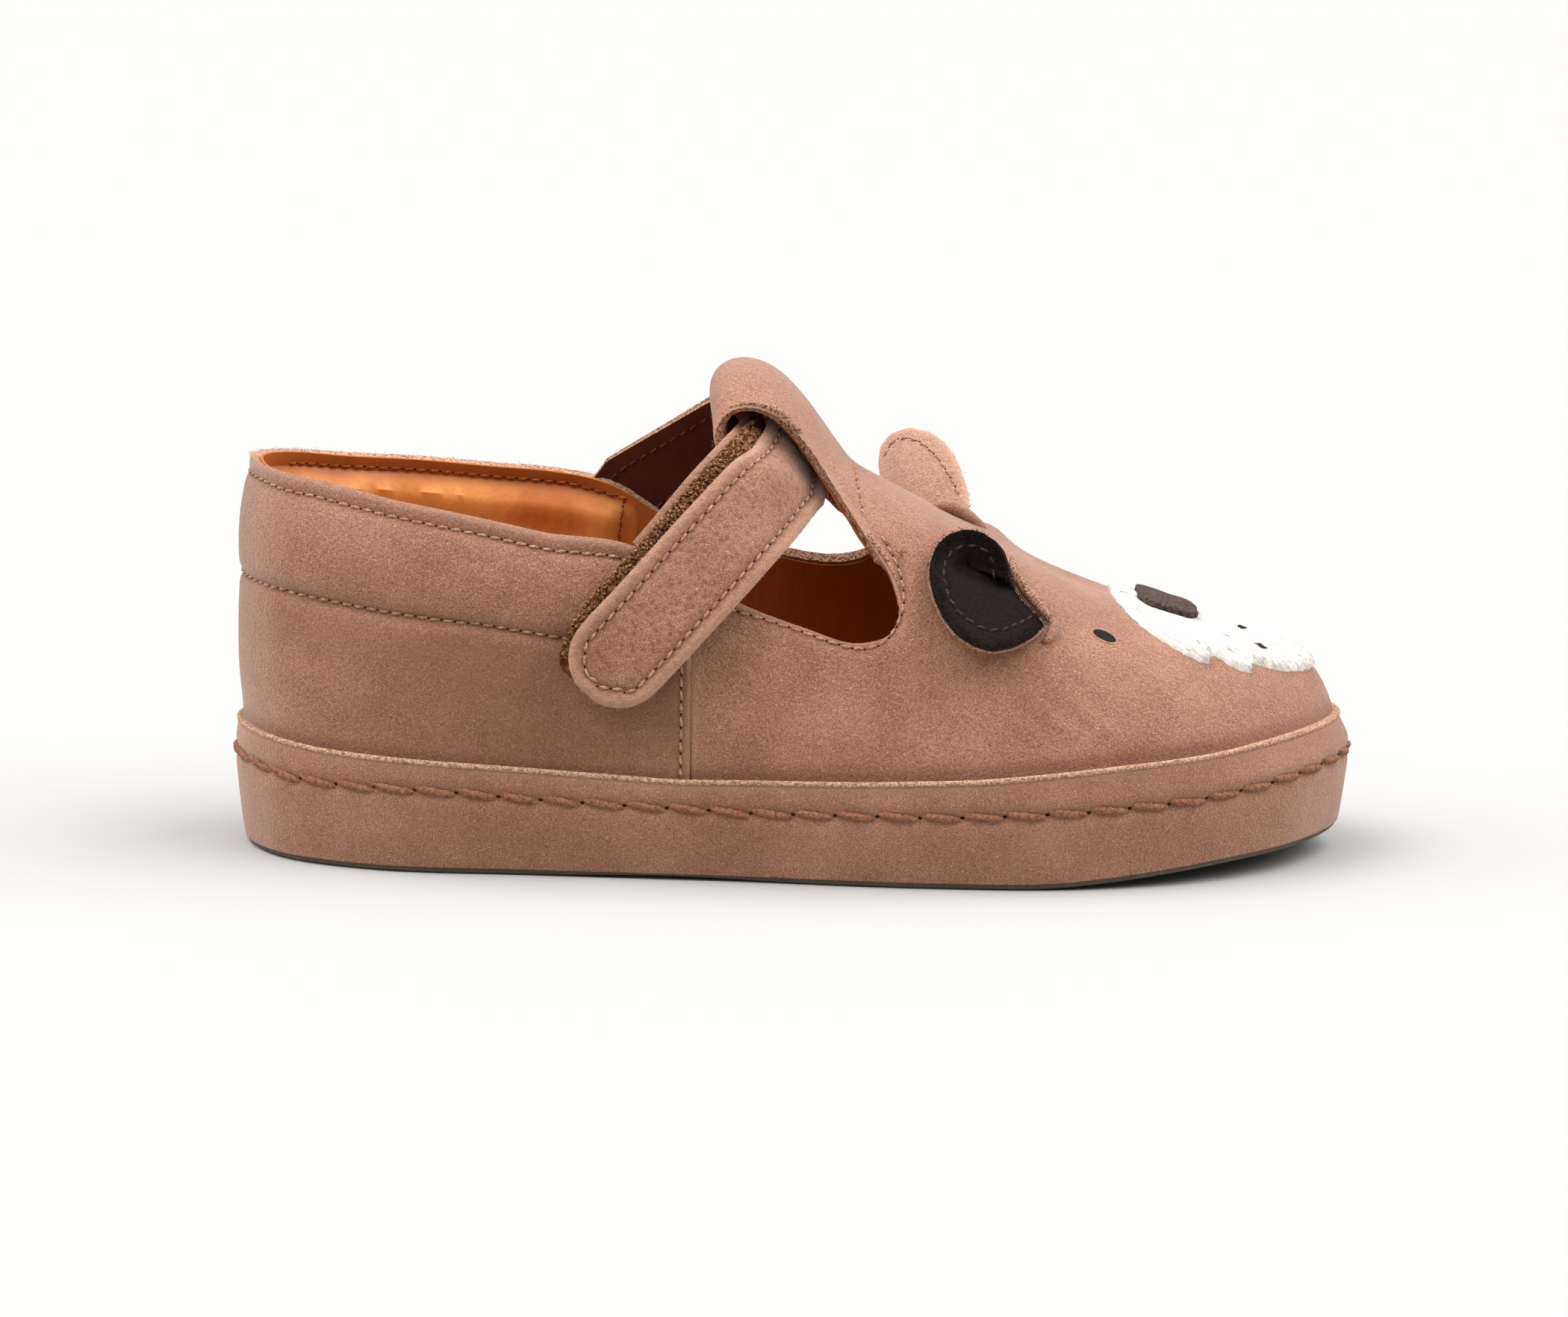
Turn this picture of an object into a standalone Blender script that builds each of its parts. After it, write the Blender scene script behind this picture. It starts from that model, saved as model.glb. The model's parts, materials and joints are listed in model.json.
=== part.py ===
"""A child's T-bar shoe for the right foot: a nubuck upper on a leather-wrapped sole, closed by a
hook-and-loop strap that runs through a loop at the top of the T-bar. A plain animal face sits on the toe.

The toe points along +X, the medial side is +Y and the floor is Z = 0. The tables and sizes below are in
millimetres, and every mesh is scaled to metres as it is made.
"""

import math

import bmesh
import bpy
import numpy as np
from mathutils import Vector
from mathutils.bvhtree import BVHTree

MM = 0.001
LATERAL, MEDIAL = -1, 1

# Sole, from the floor up
OUTSOLE_THICK = 2.2
OUTSOLE_INSET = 1.9
ARCH_LIFT = 0.4
WRAP_RIM = 1.3
WRAP_UNDER = 1.6
CUP_FLOOR = 8.0
INSOLE_THICK = 3.0
GAP = 0.3

# Upper
WALL = 2.0
FEATHER_INSET = WRAP_RIM + GAP
SPINE_CENTRE = 2.0
SPINE_KEEP = 0.86
HEEL_SWELL = 1.0
ROOT_HEIGHT = {LATERAL: 47.6, MEDIAL: 50.0}

# T-bar and its loop
TBAR_HALF_WIDTH = 13.6
TBAR_ROOT_HALF_WIDTH = 18.0
TBAR_END_HALF_WIDTH = 6.0
TBAR_CAMBER = 0.031
CAMBER_SLOPE = 0.15

# Strap and its hook-and-loop fastening, stacked outwards from the quarter
STRAP_WIDTH = 14.0
STRAP_PINCH = 0.12
STRAP_THICK = 2.0
TAPE_WIDTH = 13.0
TAPE_THICK = 1.0
TAB_WIDTH = 12.6
STRAP_LOOP_LIFT = 0.45
TAB_END = 0.37
TAPE_END = 0.37

# Ears, muzzle and nose
EAR_THICK = 1.0
MUZZLE_THICK = 0.8
NOSE_THICK = 0.9
FACE_AXIS = 2.4

# Outline of the sole from above, from the heel tip round the lateral side to the toe tip and back
PLAN_COLUMNS = ("along", "across")
PLAN = (
    (-86.3, 0.0),
    (-79.5, -16.5),
    (-64.0, -25.0),
    (-40.0, -27.5),
    (-10.0, -30.0),
    (20.0, -33.5),
    (45.0, -33.0),
    (65.0, -26.0),
    (79.3, -14.0),
    (86.9, 3.6),
    (80.8, 19.8),
    (64.5, 29.5),
    (42.0, 32.0),
    (18.0, 28.5),
    (-8.0, 25.0),
    (-38.0, 25.5),
    (-63.0, 24.5),
    (-79.3, 16.5),
)
TOE_ROW = 9

# Sections of the upper: ridge height over the spine, and how square the side and the crown are
SECTION_COLUMNS = ("along", "ridge", "side", "crown")
SECTIONS = (
    (-76.0, 84.0, 4.2, 2.0),
    (-50.0, 83.0, 4.0, 2.0),
    (-25.0, 79.0, 3.0, 2.0),
    (-9.2, 71.0, 2.0, 2.0),
    (-5.2, 66.4, 1.9, 2.0),
    (-1.2, 62.2, 1.9, 2.0),
    (3.0, 60.4, 2.0, 2.0),
    (8.5, 60.0, 2.1, 2.0),
    (12.0, 58.4, 2.2, 2.0),
    (21.0, 53.4, 2.2, 2.0),
    (32.8, 47.4, 2.2, 2.1),
    (42.0, 42.5, 2.2, 2.2),
    (49.0, 39.4, 2.3, 2.2),
    (62.0, 34.9, 2.3, 2.2),
    (74.8, 31.0, 2.3, 2.2),
)

# Height of the collar and cut-out edge on each side
EDGE_COLUMNS = ("along", "lateral", "medial")
EDGE = (
    (-83.0, 59.9, 59.9),
    (-72.0, 60.2, 58.0),
    (-60.0, 58.3, 57.0),
    (-48.0, 55.9, 56.0),
    (-36.0, 53.0, 55.2),
    (-27.0, 51.3, 53.0),
    (-20.0, 48.8, 48.0),
    (-8.0, 41.6, 45.4),
    (4.0, 37.5, 42.6),
    (9.0, 35.8, 42.2),
    (13.8, 36.8, 43.4),
)

# Front edge of the cut-outs, where the vamp narrows into the T-bar
FRONT_COLUMNS = ("height", "lateral", "medial")
FRONT = (
    (36.8, 13.8, 11.4),
    (38.8, 15.4, 11.6),
    (41.0, 16.0, 11.8),
    (45.0, 15.0, 12.8),
    (49.5, 12.6, 12.4),
    (54.0, 10.8, 10.8),
    (59.0, 9.0, 9.0),
)

# Crest of the T-bar: up from the vamp, round the fold and back under itself to where it is sewn
CREST_COLUMNS = ("along", "height")
CREST_FOLD_ROW = {LATERAL: 8, MEDIAL: 6}
CREST_TAPER = {LATERAL: 1.0, MEDIAL: 2.4}
CREST = (
    (8.8, 60.3),
    (5.0, 64.9),
    (0.4, 70.8),
    (-2.8, 73.9),
    (-6.2, 75.5),
    (-9.6, 75.6),
    (-12.3, 74.0),
    (-13.4, 70.8),
    (-12.3, 67.4),
    (-8.8, 62.6),
    (-3.8, 58.1),
    (1.2, 56.3),
    (5.4, 56.0),
)

# Toe spring and rim height of the wrapped sole
SOLE_COLUMNS = ("along", "spring", "rim")
SOLE = (
    (-86.0, 0.0, 19.6),
    (-72.0, 0.0, 18.3),
    (-48.0, 0.0, 17.1),
    (-17.0, 0.0, 15.5),
    (10.0, 0.0, 16.1),
    (28.0, 0.0, 16.9),
    (38.0, 0.1, 17.9),
    (47.0, 0.8, 18.8),
    (56.0, 1.7, 19.3),
    (65.0, 2.6, 20.1),
    (75.0, 3.2, 20.9),
    (86.0, 3.8, 21.6),
)

# Rings of the wrapped sole: inset from the plan, share of the rim height, and a step up from there
WRAP_COLUMNS = ("inset", "share", "step")
WRAP_RINGS = (
    (WRAP_UNDER, 0.0, OUTSOLE_THICK + GAP),
    (WRAP_UNDER, 0.0, 0.9),
    (1.35, 0.0, 2.4),
    (0.9, 0.0, 5.5),
    (0.3, 0.6, 0.0),
    (0.0, 0.82, 0.0),
    (0.0, 1.0, -0.5),
    (0.3, 1.0, 0.0),
    (1.0, 1.0, 0.0),
    (WRAP_RIM, 1.0, -0.4),
    (WRAP_RIM, 0.0, CUP_FLOOR),
)

# Centre line of the strap over the upper on each side of its crest, read from the side
STRAP_COLUMNS = ("along", "height", "side")
STRAP_LATERAL = (
    (-31.0, 28.8, LATERAL),
    (-24.5, 36.0, LATERAL),
    (-16.8, 44.4, LATERAL),
    (-9.8, 52.4, LATERAL),
    (-4.8, 58.8, LATERAL),
)
STRAP_CREST_ALONG = -4.2
STRAP_MEDIAL = (
    (-4.4, 60.2, MEDIAL),
    (-8.4, 59.0, MEDIAL),
    (-18.0, 56.6, MEDIAL),
    (-28.0, 51.0, MEDIAL),
    (-36.0, 44.4, MEDIAL),
)

# An ear from its base up: share of its height, half width, and how deep it is cupped
EAR_COLUMNS = ("rise", "half", "cup")
EAR = (
    (0.0, 4.6, 3.2),
    (0.25, 7.4, 3.0),
    (0.5, 8.8, 2.4),
    (0.75, 7.8, 1.6),
    (0.92, 5.6, 0.9),
    (1.0, 3.4, 0.5),
)

# Where each ear is set into the vamp, how long it is, the way it rises and the way its dark side faces
EAR_SET_COLUMNS = ("side", "along", "height", "length", "rise", "face")
EAR_SETS = {
    "ear_lateral": (LATERAL, 35.0, 41.6, 16.5, (-0.86, -0.45, 0.22), (0.50, -0.79, 0.37)),
    "ear_medial": (MEDIAL, 27.5, 47.5, 18.0, (-0.72, 0.25, 0.65), (0.72, 0.56, 0.31)),
}

# Muzzle patch and nose from above: half width at each station along the toe
PATCH_COLUMNS = ("along", "half")
MUZZLE = (
    (48.7, 8.5),
    (50.2, 13.0),
    (53.5, 16.6),
    (58.0, 18.6),
    (62.0, 18.8),
    (66.5, 16.6),
    (70.5, 13.6),
    (74.5, 9.8),
    (78.0, 6.0),
    (80.4, 2.0),
)
NOSE = (
    (51.8, 3.0),
    (52.8, 6.2),
    (55.2, 7.6),
    (58.5, 7.0),
    (61.2, 5.0),
    (62.4, 2.2),
)

# Columns and rows of the upper's mesh
QUARTER_COLUMNS = 30
VAMP_COLUMNS = 13
SIDE_ROWS, CUT_ROWS, ROOT_ROWS = 9, 4, 4
TAB_ROWS = 7
TBAR_ROWS = 28
PATCH_ROWS = 12
EAR_ROWS = 8
SOLE_COLUMNS_PER_SIDE = 40

# Finishes: base colour, roughness
FINISHES = {
    "nubuck": ((0.36, 0.19, 0.13), 0.75),
    "wrap_leather": ((0.34, 0.17, 0.12), 0.7),
    "rubber": ((0.10, 0.09, 0.065), 0.8),
    "lining_leather": ((0.58, 0.25, 0.07), 0.6),
    "hook_and_loop": ((0.25, 0.12, 0.05), 0.9),
    "dark_leather": ((0.02, 0.014, 0.012), 0.7),
    "hair_hide": ((0.85, 0.83, 0.8), 0.9),
}


def column(names, rows, name, at):
    """A table's column read at `at` (values of its first column) through a smooth curve."""
    keys = np.array([row[0] for row in rows], float)
    values = np.array([row[names.index(name)] for row in rows], float)
    slopes = np.gradient(values, keys)
    at = np.clip(np.asarray(at, float), keys[0], keys[-1])
    left = np.clip(np.searchsorted(keys, at, side="right") - 1, 0, len(keys) - 2)
    step = keys[left + 1] - keys[left]
    t = (at - keys[left]) / step
    return (
        values[left] * (1 + 2 * t) * (1 - t) ** 2
        + slopes[left] * step * t * (1 - t) ** 2
        + values[left + 1] * t**2 * (3 - 2 * t)
        + slopes[left + 1] * step * t**2 * (t - 1)
    )


def curve_through(points, count, closed=False):
    """`count` points on a smooth curve through the given ones, spaced by the points' own chords."""
    points = np.array(points, float)
    if closed:
        points = np.vstack([points[-2:], points, points[:3]])
    chords = np.linalg.norm(np.diff(points, axis=0), axis=1)
    keys = np.concatenate([[0.0], np.cumsum(chords)])
    first, last = (keys[2], keys[-3]) if closed else (keys[0], keys[-1])
    at = np.linspace(first, last, count)
    names = ["key"] + [str(k) for k in range(points.shape[1])]
    rows = [(key, *point) for key, point in zip(keys, points)]
    return np.stack([column(names, rows, name, at) for name in names[1:]], axis=-1)


def unit(vectors):
    return vectors / np.linalg.norm(vectors, axis=-1, keepdims=True)


def plan_sides(inset, samples=400):
    """The plan outline moved in by `inset`: for each side, its points from heel tip to toe tip."""
    around = curve_through(PLAN, samples * 2 + 1, closed=True)[:-1]
    ahead = unit(np.roll(around, -1, axis=0) - np.roll(around, 1, axis=0))
    inward = np.stack([-ahead[:, 1], ahead[:, 0]], axis=-1)
    moved = around + inset * inward
    toe = int(np.argmin(np.linalg.norm(around - np.array(PLAN[TOE_ROW]), axis=1)))
    return {
        LATERAL: moved[: toe + 1],
        MEDIAL: np.vstack([moved[toe:], moved[:1]])[::-1],
    }


def along_side(side_points, share):
    """Points at these shares of a side's length."""
    lengths = np.concatenate(
        [[0.0], np.cumsum(np.linalg.norm(np.diff(side_points, axis=0), axis=1))]
    )
    at = np.asarray(share, float) * lengths[-1]
    return np.stack(
        [np.interp(at, lengths, side_points[:, k]) for k in range(2)], axis=-1
    )


FEATHER = plan_sides(FEATHER_INSET)


def spring(along):
    return np.maximum(column(SOLE_COLUMNS, SOLE, "spring", along), 0.0)


def upper_surface(share, turn):
    """The upper's outer face, like the last's own: share runs from heel to toe, and turn from the lateral
    feather edge (-1) over the ridge (0) to the medial one (1). Ribs lean towards the spine as they rise."""
    share, turn = np.broadcast_arrays(
        np.asarray(share, float), np.asarray(turn, float)
    )
    lateral = along_side(FEATHER[LATERAL], share)
    medial = along_side(FEATHER[MEDIAL], share)
    middle = (lateral + medial) / 2
    spine = SPINE_CENTRE + SPINE_KEEP * (middle[..., 0] - SPINE_CENTRE)
    ridge = column(SECTION_COLUMNS, SECTIONS, "ridge", spine)
    side = column(SECTION_COLUMNS, SECTIONS, "side", spine)
    crown = column(SECTION_COLUMNS, SECTIONS, "crown", spine)
    foot = np.where((turn < 0)[..., None], lateral, medial)
    base = spring(foot[..., 0]) + CUP_FLOOR + 2 * GAP
    angle = (1 - np.abs(turn)) * math.pi / 2
    out = np.clip(np.cos(angle), 0, 1) ** (2 / side)
    up = np.clip(np.sin(angle), 0, 1) ** (2 / crown)
    spread = foot - np.stack([spine, middle[..., 1]], axis=-1)
    height = base + (ridge - base) * up
    swell = HEEL_SWELL * smooth_step((20 - foot[..., 0]) / 60)
    swell = swell * smooth_step((height - rim(foot[..., 0]) - 2) / 6) * smooth_step((70 - height) / 22)
    out = out + swell / np.linalg.norm(spread, axis=-1)
    return np.stack(
        [spine + spread[..., 0] * out, middle[..., 1] + spread[..., 1] * out, height], axis=-1
    )


def upper_normal(share, turn, step=0.004):
    """Outward normals of the upper's face."""
    share, turn = np.asarray(share, float), np.asarray(turn, float)
    low, high = np.clip(share - step, 0, 1), np.clip(share + step, 0, 1)
    forward = upper_surface(high, turn) - upper_surface(low, turn)
    across = upper_surface(share, np.clip(turn + step, -1, 1)) - upper_surface(
        share, np.clip(turn - step, -1, 1)
    )
    return unit(np.cross(forward, across))


def halve(low, high, is_high, rounds=28):
    """Where is_high turns true between low and high, by halving."""
    low, high = np.array(low, float), np.array(high, float)
    for _ in range(rounds):
        middle = (low + high) / 2
        above = is_high(middle)
        low, high = np.where(above, low, middle), np.where(above, middle, high)
    return (low + high) / 2


def turn_at_edge(share, side):
    """Turn of the collar and cut-out edge on the rib at each share."""
    name = "lateral" if side == LATERAL else "medial"

    def above(climb):
        point = upper_surface(share, side * (1 - climb))
        return point[..., 2] > column(EDGE_COLUMNS, EDGE, name, point[..., 0])

    share = np.asarray(share, float)
    return side * (1 - halve(np.zeros_like(share), np.ones_like(share), above))


def share_at_front(turn, side):
    """Share of the cut-out's front edge at each turn."""
    name = "lateral" if side == LATERAL else "medial"

    def beyond(share):
        point = upper_surface(share, turn)
        return point[..., 0] > column(FRONT_COLUMNS, FRONT, name, point[..., 2])

    turn = np.asarray(turn, float)
    return halve(np.full_like(turn, 0.3), np.full_like(turn, 0.9), beyond)


def turn_at_height(share, height, side):
    def above(climb):
        return upper_surface(share, side * (1 - climb))[..., 2] > height

    share = np.asarray(share, float)
    return side * (1 - halve(np.zeros_like(share), np.ones_like(share), above))


def chart_at(along, height, side):
    """Share and turn of the upper's point with this x and z."""

    def beyond(share):
        turn = turn_at_height(share, height, side)
        return upper_surface(share, turn)[..., 0] > along

    share = halve(0.02, 0.98, beyond)
    return float(share), float(turn_at_height(share, height, side))


def smooth_step(t):
    t = np.clip(t, 0, 1)
    return t * t * (3 - 2 * t)


def finish(name):
    """The material of one finish, made once."""
    material = bpy.data.materials.get(name)
    if material is None:
        material = bpy.data.materials.new(name)
        material.use_nodes = True
        shader = material.node_tree.nodes["Principled BSDF"]
        colour, roughness = FINISHES[name]
        shader.inputs["Base Color"].default_value = (*colour, 1.0)
        shader.inputs["Roughness"].default_value = roughness
        shader.inputs["Metallic"].default_value = 0.0
    return material


def add_grid(mesh, points, flip=False):
    """A sheet of quads through a grid of points, facing columns-cross-rows."""
    rows, columns = points.shape[:2]
    corners = [[mesh.verts.new(points[r, c] * MM) for c in range(columns)] for r in range(rows)]
    for r in range(rows - 1):
        for c in range(columns - 1):
            loop = [corners[r][c], corners[r][c + 1], corners[r + 1][c + 1], corners[r + 1][c]]
            mesh.faces.new(loop[::-1] if flip else loop)


def mesh_object(name, mesh, finish_name, weld=0.02):
    """The mesh as a named part, with doubled points joined."""
    bmesh.ops.remove_doubles(mesh, verts=mesh.verts, dist=weld * MM)
    bmesh.ops.dissolve_degenerate(mesh, edges=mesh.edges, dist=weld * MM)
    data = bpy.data.meshes.new(name)
    mesh.to_mesh(data)
    mesh.free()
    part = bpy.data.objects.new(name, data)
    data.materials.append(finish(finish_name))
    data.shade_smooth()
    PARTS.objects.link(part)
    part.parent = SHOE
    return part


def thicken(part, thickness, offset=-1.0):
    """Gives a sheet its thickness: offset -1 puts it behind the face, 1 in front."""
    shell = part.modifiers.new("thickness", "SOLIDIFY")
    shell.thickness = thickness * MM
    shell.offset = offset
    shell.use_even_offset = True
    shell.use_quality_normals = True
    return shell


def rings_solid(name, rings, finish_name):
    """A solid from rings round the plan, each a pair of heel-to-toe rows, capped across at both ends."""
    mesh = bmesh.new()
    lateral = np.array([ring[0] for ring in rings])
    medial = np.array([ring[1] for ring in rings])
    add_grid(mesh, lateral)
    add_grid(mesh, medial, flip=True)
    for ring, flip in ((0, True), (-1, False)):
        across = np.stack([lateral[ring], medial[ring]], axis=0)
        add_grid(mesh, across, flip)
    return mesh_object(name, mesh, finish_name)


def plan_ring(inset, height):
    """One ring of the sole: the plan moved in, at the height that a function of x gives."""
    share = np.linspace(0, 1, SOLE_COLUMNS_PER_SIDE + 1)
    pair = []
    for side in (LATERAL, MEDIAL):
        flat = along_side(plan_sides(inset)[side], share)
        pair.append(np.column_stack([flat, height(flat[:, 0])]))
    return pair


def rim(along):
    return column(SOLE_COLUMNS, SOLE, "rim", along)


def arch(along):
    """The waist of the outsole is a little clear of the floor, between flat heel and forefoot."""
    inside = np.clip((along + 42) / 46, 0, 1)
    return ARCH_LIFT * np.sin(math.pi * inside) ** 2


def make_sole():
    rings = [
        plan_ring(
            inset,
            lambda x, share=share, step=step: spring(x) + share * (rim(x) - spring(x)) + step,
        )
        for inset, share, step in WRAP_RINGS
    ]
    rings_solid("sole_wrap", rings, "wrap_leather")
    outsole = (
        (OUTSOLE_INSET + 0.5, lambda x: spring(x) + arch(x)),
        (OUTSOLE_INSET, lambda x: spring(x) + arch(x) + 0.5),
        (OUTSOLE_INSET, lambda x: spring(x) + OUTSOLE_THICK),
    )
    rings_solid("outsole", [plan_ring(*ring) for ring in outsole], "rubber")
    edge = FEATHER_INSET + WALL + 2 * GAP
    insole = (
        (edge, lambda x: spring(x) + CUP_FLOOR + GAP),
        (edge, lambda x: spring(x) + CUP_FLOOR + INSOLE_THICK - 0.6),
        (edge + 0.6, lambda x: spring(x) + CUP_FLOOR + INSOLE_THICK),
    )
    rings_solid("insole", [plan_ring(*ring) for ring in insole], "lining_leather")


def tbar_surface(root_row):
    """The T-bar strip: rows along its crest, columns across it, starting on the vamp's root row."""
    path = curve_through(CREST, TBAR_ROWS)
    columns = root_row.shape[0]
    across = np.linspace(-1, 1, columns)
    lengths = np.concatenate([[0.0], np.cumsum(np.linalg.norm(np.diff(path, axis=0), axis=1))])
    flare = smooth_step(1 - lengths / 14.0) ** 2
    y = np.zeros((len(path), columns))
    for side in (LATERAL, MEDIAL):
        fold = np.linalg.norm(path - np.array(CREST[CREST_FOLD_ROW[side]]), axis=1).argmin()
        taper = (lengths - lengths[fold]) / (lengths[-1] - lengths[fold])
        taper = np.clip(CREST_TAPER[side] * taper, 0, 1)
        half = TBAR_HALF_WIDTH + (TBAR_ROOT_HALF_WIDTH - TBAR_HALF_WIDTH) * flare
        half = half + (TBAR_END_HALF_WIDTH - TBAR_HALF_WIDTH) * taper
        y += half[:, None] * np.where(across * side > 0, across, 0)[None, :]
    drop = TBAR_CAMBER * y**2
    strip = np.stack(
        [path[:, :1] + CAMBER_SLOPE * drop, y, path[:, 1:] - drop], axis=-1
    )
    fade = smooth_step(1 - lengths / 9.0)[:, None, None]
    return strip + fade * (root_row - strip[0])[None]


def strap_line():
    """Share and turn along the strap's centre, from its lateral end over the ridge to its medial end."""
    crest_share = float(
        halve(0.3, 0.8, lambda share: upper_surface(share, 0.0)[..., 0] > STRAP_CREST_ALONG)
    )
    points = [chart_at(*row) for row in STRAP_LATERAL]
    points.append((crest_share, 0.0))
    points.extend(chart_at(*row) for row in STRAP_MEDIAL)
    return curve_through(points, 240)


def strap_sheet(line, lift, width, start, end, rows, columns, round_start, round_end, pinch=0.0):
    """A strip that follows the strap's line at `lift` off the upper, between shares of its length, with
    rounded ends where asked and a little narrower by `pinch` in the loop."""
    points = upper_surface(line[:, 0], line[:, 1])
    lengths = np.concatenate([[0.0], np.cumsum(np.linalg.norm(np.diff(points, axis=0), axis=1))])
    first, last = start * lengths[-1], end * lengths[-1]
    half = width / 2
    turns = np.linspace(math.radians(18), math.pi / 2, 5)
    at = [first + half * (1 - math.cos(a)) for a in turns] if round_start else [first]
    tail = [last - half * (1 - math.cos(a)) for a in turns[::-1]] if round_end else [last]
    at = np.array(at[:-1] + list(np.linspace(at[-1], tail[0], rows)) + tail[1:])
    halves = np.full(len(at), half)
    if round_start:
        halves[:5] = half * np.sin(turns)
    if round_end:
        halves[-5:] = half * np.sin(turns[::-1])
    in_loop = at / lengths[-1]
    halves *= 1 - pinch * smooth_step((in_loop - 0.33) / 0.08) * smooth_step((0.72 - in_loop) / 0.08)
    share = np.interp(at, lengths, line[:, 0])
    turn = np.interp(at, lengths, line[:, 1])
    centre = upper_surface(share, turn)
    normal = upper_normal(share, turn)
    ahead = unit(np.gradient(centre, at, axis=0))
    aside = unit(np.cross(normal, ahead))
    across = np.linspace(-1, 1, columns)
    step = 0.004
    by_share = (upper_surface(share + step, turn) - upper_surface(share - step, turn)) / (2 * step)
    by_turn = (upper_surface(share, turn + step) - upper_surface(share, turn - step)) / (2 * step)
    sheet = np.zeros((len(at), columns, 3))
    for r in range(len(at)):
        basis = np.stack([by_share[r], by_turn[r]], axis=-1)
        chart_step = np.linalg.lstsq(basis, aside[r], rcond=None)[0]
        move = across * halves[r]
        shares = share[r] + move * chart_step[0]
        turns_here = turn[r] + move * chart_step[1]
        off = lift(at[r] / lengths[-1]) if callable(lift) else lift
        sheet[r] = upper_surface(shares, turns_here) + off * upper_normal(shares, turns_here)
    return sheet


def tab_surface(quarter_edge):
    """The lateral quarter's tab: from its edge under the strap up into the loop."""
    line = strap_line()
    points = upper_surface(line[:, 0], line[:, 1])
    lengths = np.concatenate([[0.0], np.cumsum(np.linalg.norm(np.diff(points, axis=0), axis=1))])
    nearest = np.linalg.norm(points[:, None, :] - quarter_edge[None, :, :], axis=-1)
    cross_row, cross_column = np.unravel_index(np.argmin(nearest), nearest.shape)
    reach = np.linalg.norm(quarter_edge - points[cross_row], axis=-1)
    columns = np.where(reach < TAB_WIDTH / 2 + 0.8)[0]
    start = lengths[cross_row] / lengths[-1] + 0.05
    strip = strap_sheet(line, 0.0, TAB_WIDTH, start, TAB_END, TAB_ROWS, len(columns), False, False)
    if np.linalg.norm(strip[0, 0] - quarter_edge[columns[0]]) > np.linalg.norm(
        strip[0, -1] - quarter_edge[columns[0]]
    ):
        strip = strip[:, ::-1]
    return np.concatenate([quarter_edge[columns][None], strip])


def make_upper():
    """Quarters, vamp, T-bar and the lateral tab as one sheet with a wall behind it."""
    mesh = bmesh.new()
    shares, lows, boundary = {}, {}, {}
    for side in (LATERAL, MEDIAL):
        corner_x = FRONT[0][FRONT_COLUMNS.index("lateral" if side == LATERAL else "medial")]
        corner_z = EDGE[-1][EDGE_COLUMNS.index("lateral" if side == LATERAL else "medial")]
        corner, low = chart_at(corner_x, corner_z, side)
        root = float(turn_at_height(np.array(corner), ROOT_HEIGHT[side], side))
        shares[side] = corner * smooth_spacing(QUARTER_COLUMNS)
        climbs = np.concatenate(
            [
                np.linspace(0, 1 - abs(low), SIDE_ROWS + 1),
                np.linspace(1 - abs(low), 1 - abs(root), CUT_ROWS + 1)[1:],
                np.linspace(1 - abs(root), 1, ROOT_ROWS + 1)[1:],
            ]
        )
        turns = side * (1 - climbs)
        fronts = share_at_front(turns, side)
        fronts[: SIDE_ROWS + 1] = corner
        boundary[side] = (fronts, climbs)
        lows[side] = low
    for side in (LATERAL, MEDIAL):
        edge = turn_at_edge(shares[side], side)
        edge[0] = side * abs(turn_at_edge(np.zeros(1), LATERAL)[0])
        edge[-1] = lows[side]
        climb = np.linspace(0, 1, SIDE_ROWS + 1)
        turn = side + (edge[None, :] - side) * climb[:, None]
        share = np.broadcast_to(shares[side][None, :], turn.shape)
        quarter = upper_surface(share, turn)
        add_grid(mesh, quarter, flip=side == MEDIAL)
        if side == LATERAL:
            quarter_edge = quarter[-1]
    toe_climbs = np.linspace(0, 1, SIDE_ROWS + CUT_ROWS + ROOT_ROWS + 1)
    ahead = np.linspace(0, 1, VAMP_COLUMNS + 1)
    halves = {}
    for side in (LATERAL, MEDIAL):
        fronts, climbs = boundary[side]
        mix = smooth_step(ahead)[None, :]
        climb = climbs[:, None] * (1 - mix) + toe_climbs[:, None] * mix
        share = fronts[:, None] + (1 - fronts[:, None]) * ahead[None, :]
        halves[side] = upper_surface(share, side * (1 - climb))
    halves[MEDIAL][-1] = halves[LATERAL][-1]
    add_grid(mesh, halves[LATERAL])
    add_grid(mesh, halves[MEDIAL], flip=True)
    root_rows = slice(SIDE_ROWS + CUT_ROWS, None)
    root = np.vstack([halves[LATERAL][root_rows, 0], halves[MEDIAL][root_rows, 0][::-1][1:]])
    add_grid(mesh, tbar_surface(root))
    add_grid(mesh, tab_surface(quarter_edge))
    upper = mesh_object("upper", mesh, "nubuck")
    thicken(upper, WALL)
    return upper


def smooth_spacing(count):
    """Shares from 0 to 1, closer together at the round heel."""
    t = np.linspace(0, 1, count + 1)
    return t * (0.55 + 0.45 * t)


def strap_lift(share):
    """Height of the strap's underside off the upper: over both tapes, then lower through the loop and down
    onto the medial quarter."""
    stacked = GAP + 2 * (TAPE_THICK + GAP)
    through = stacked + (STRAP_LOOP_LIFT - stacked) * smooth_step((share - TAPE_END) / 0.08)
    return float(through + (GAP - STRAP_LOOP_LIFT) * smooth_step((share - 0.62) / 0.1))


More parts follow.
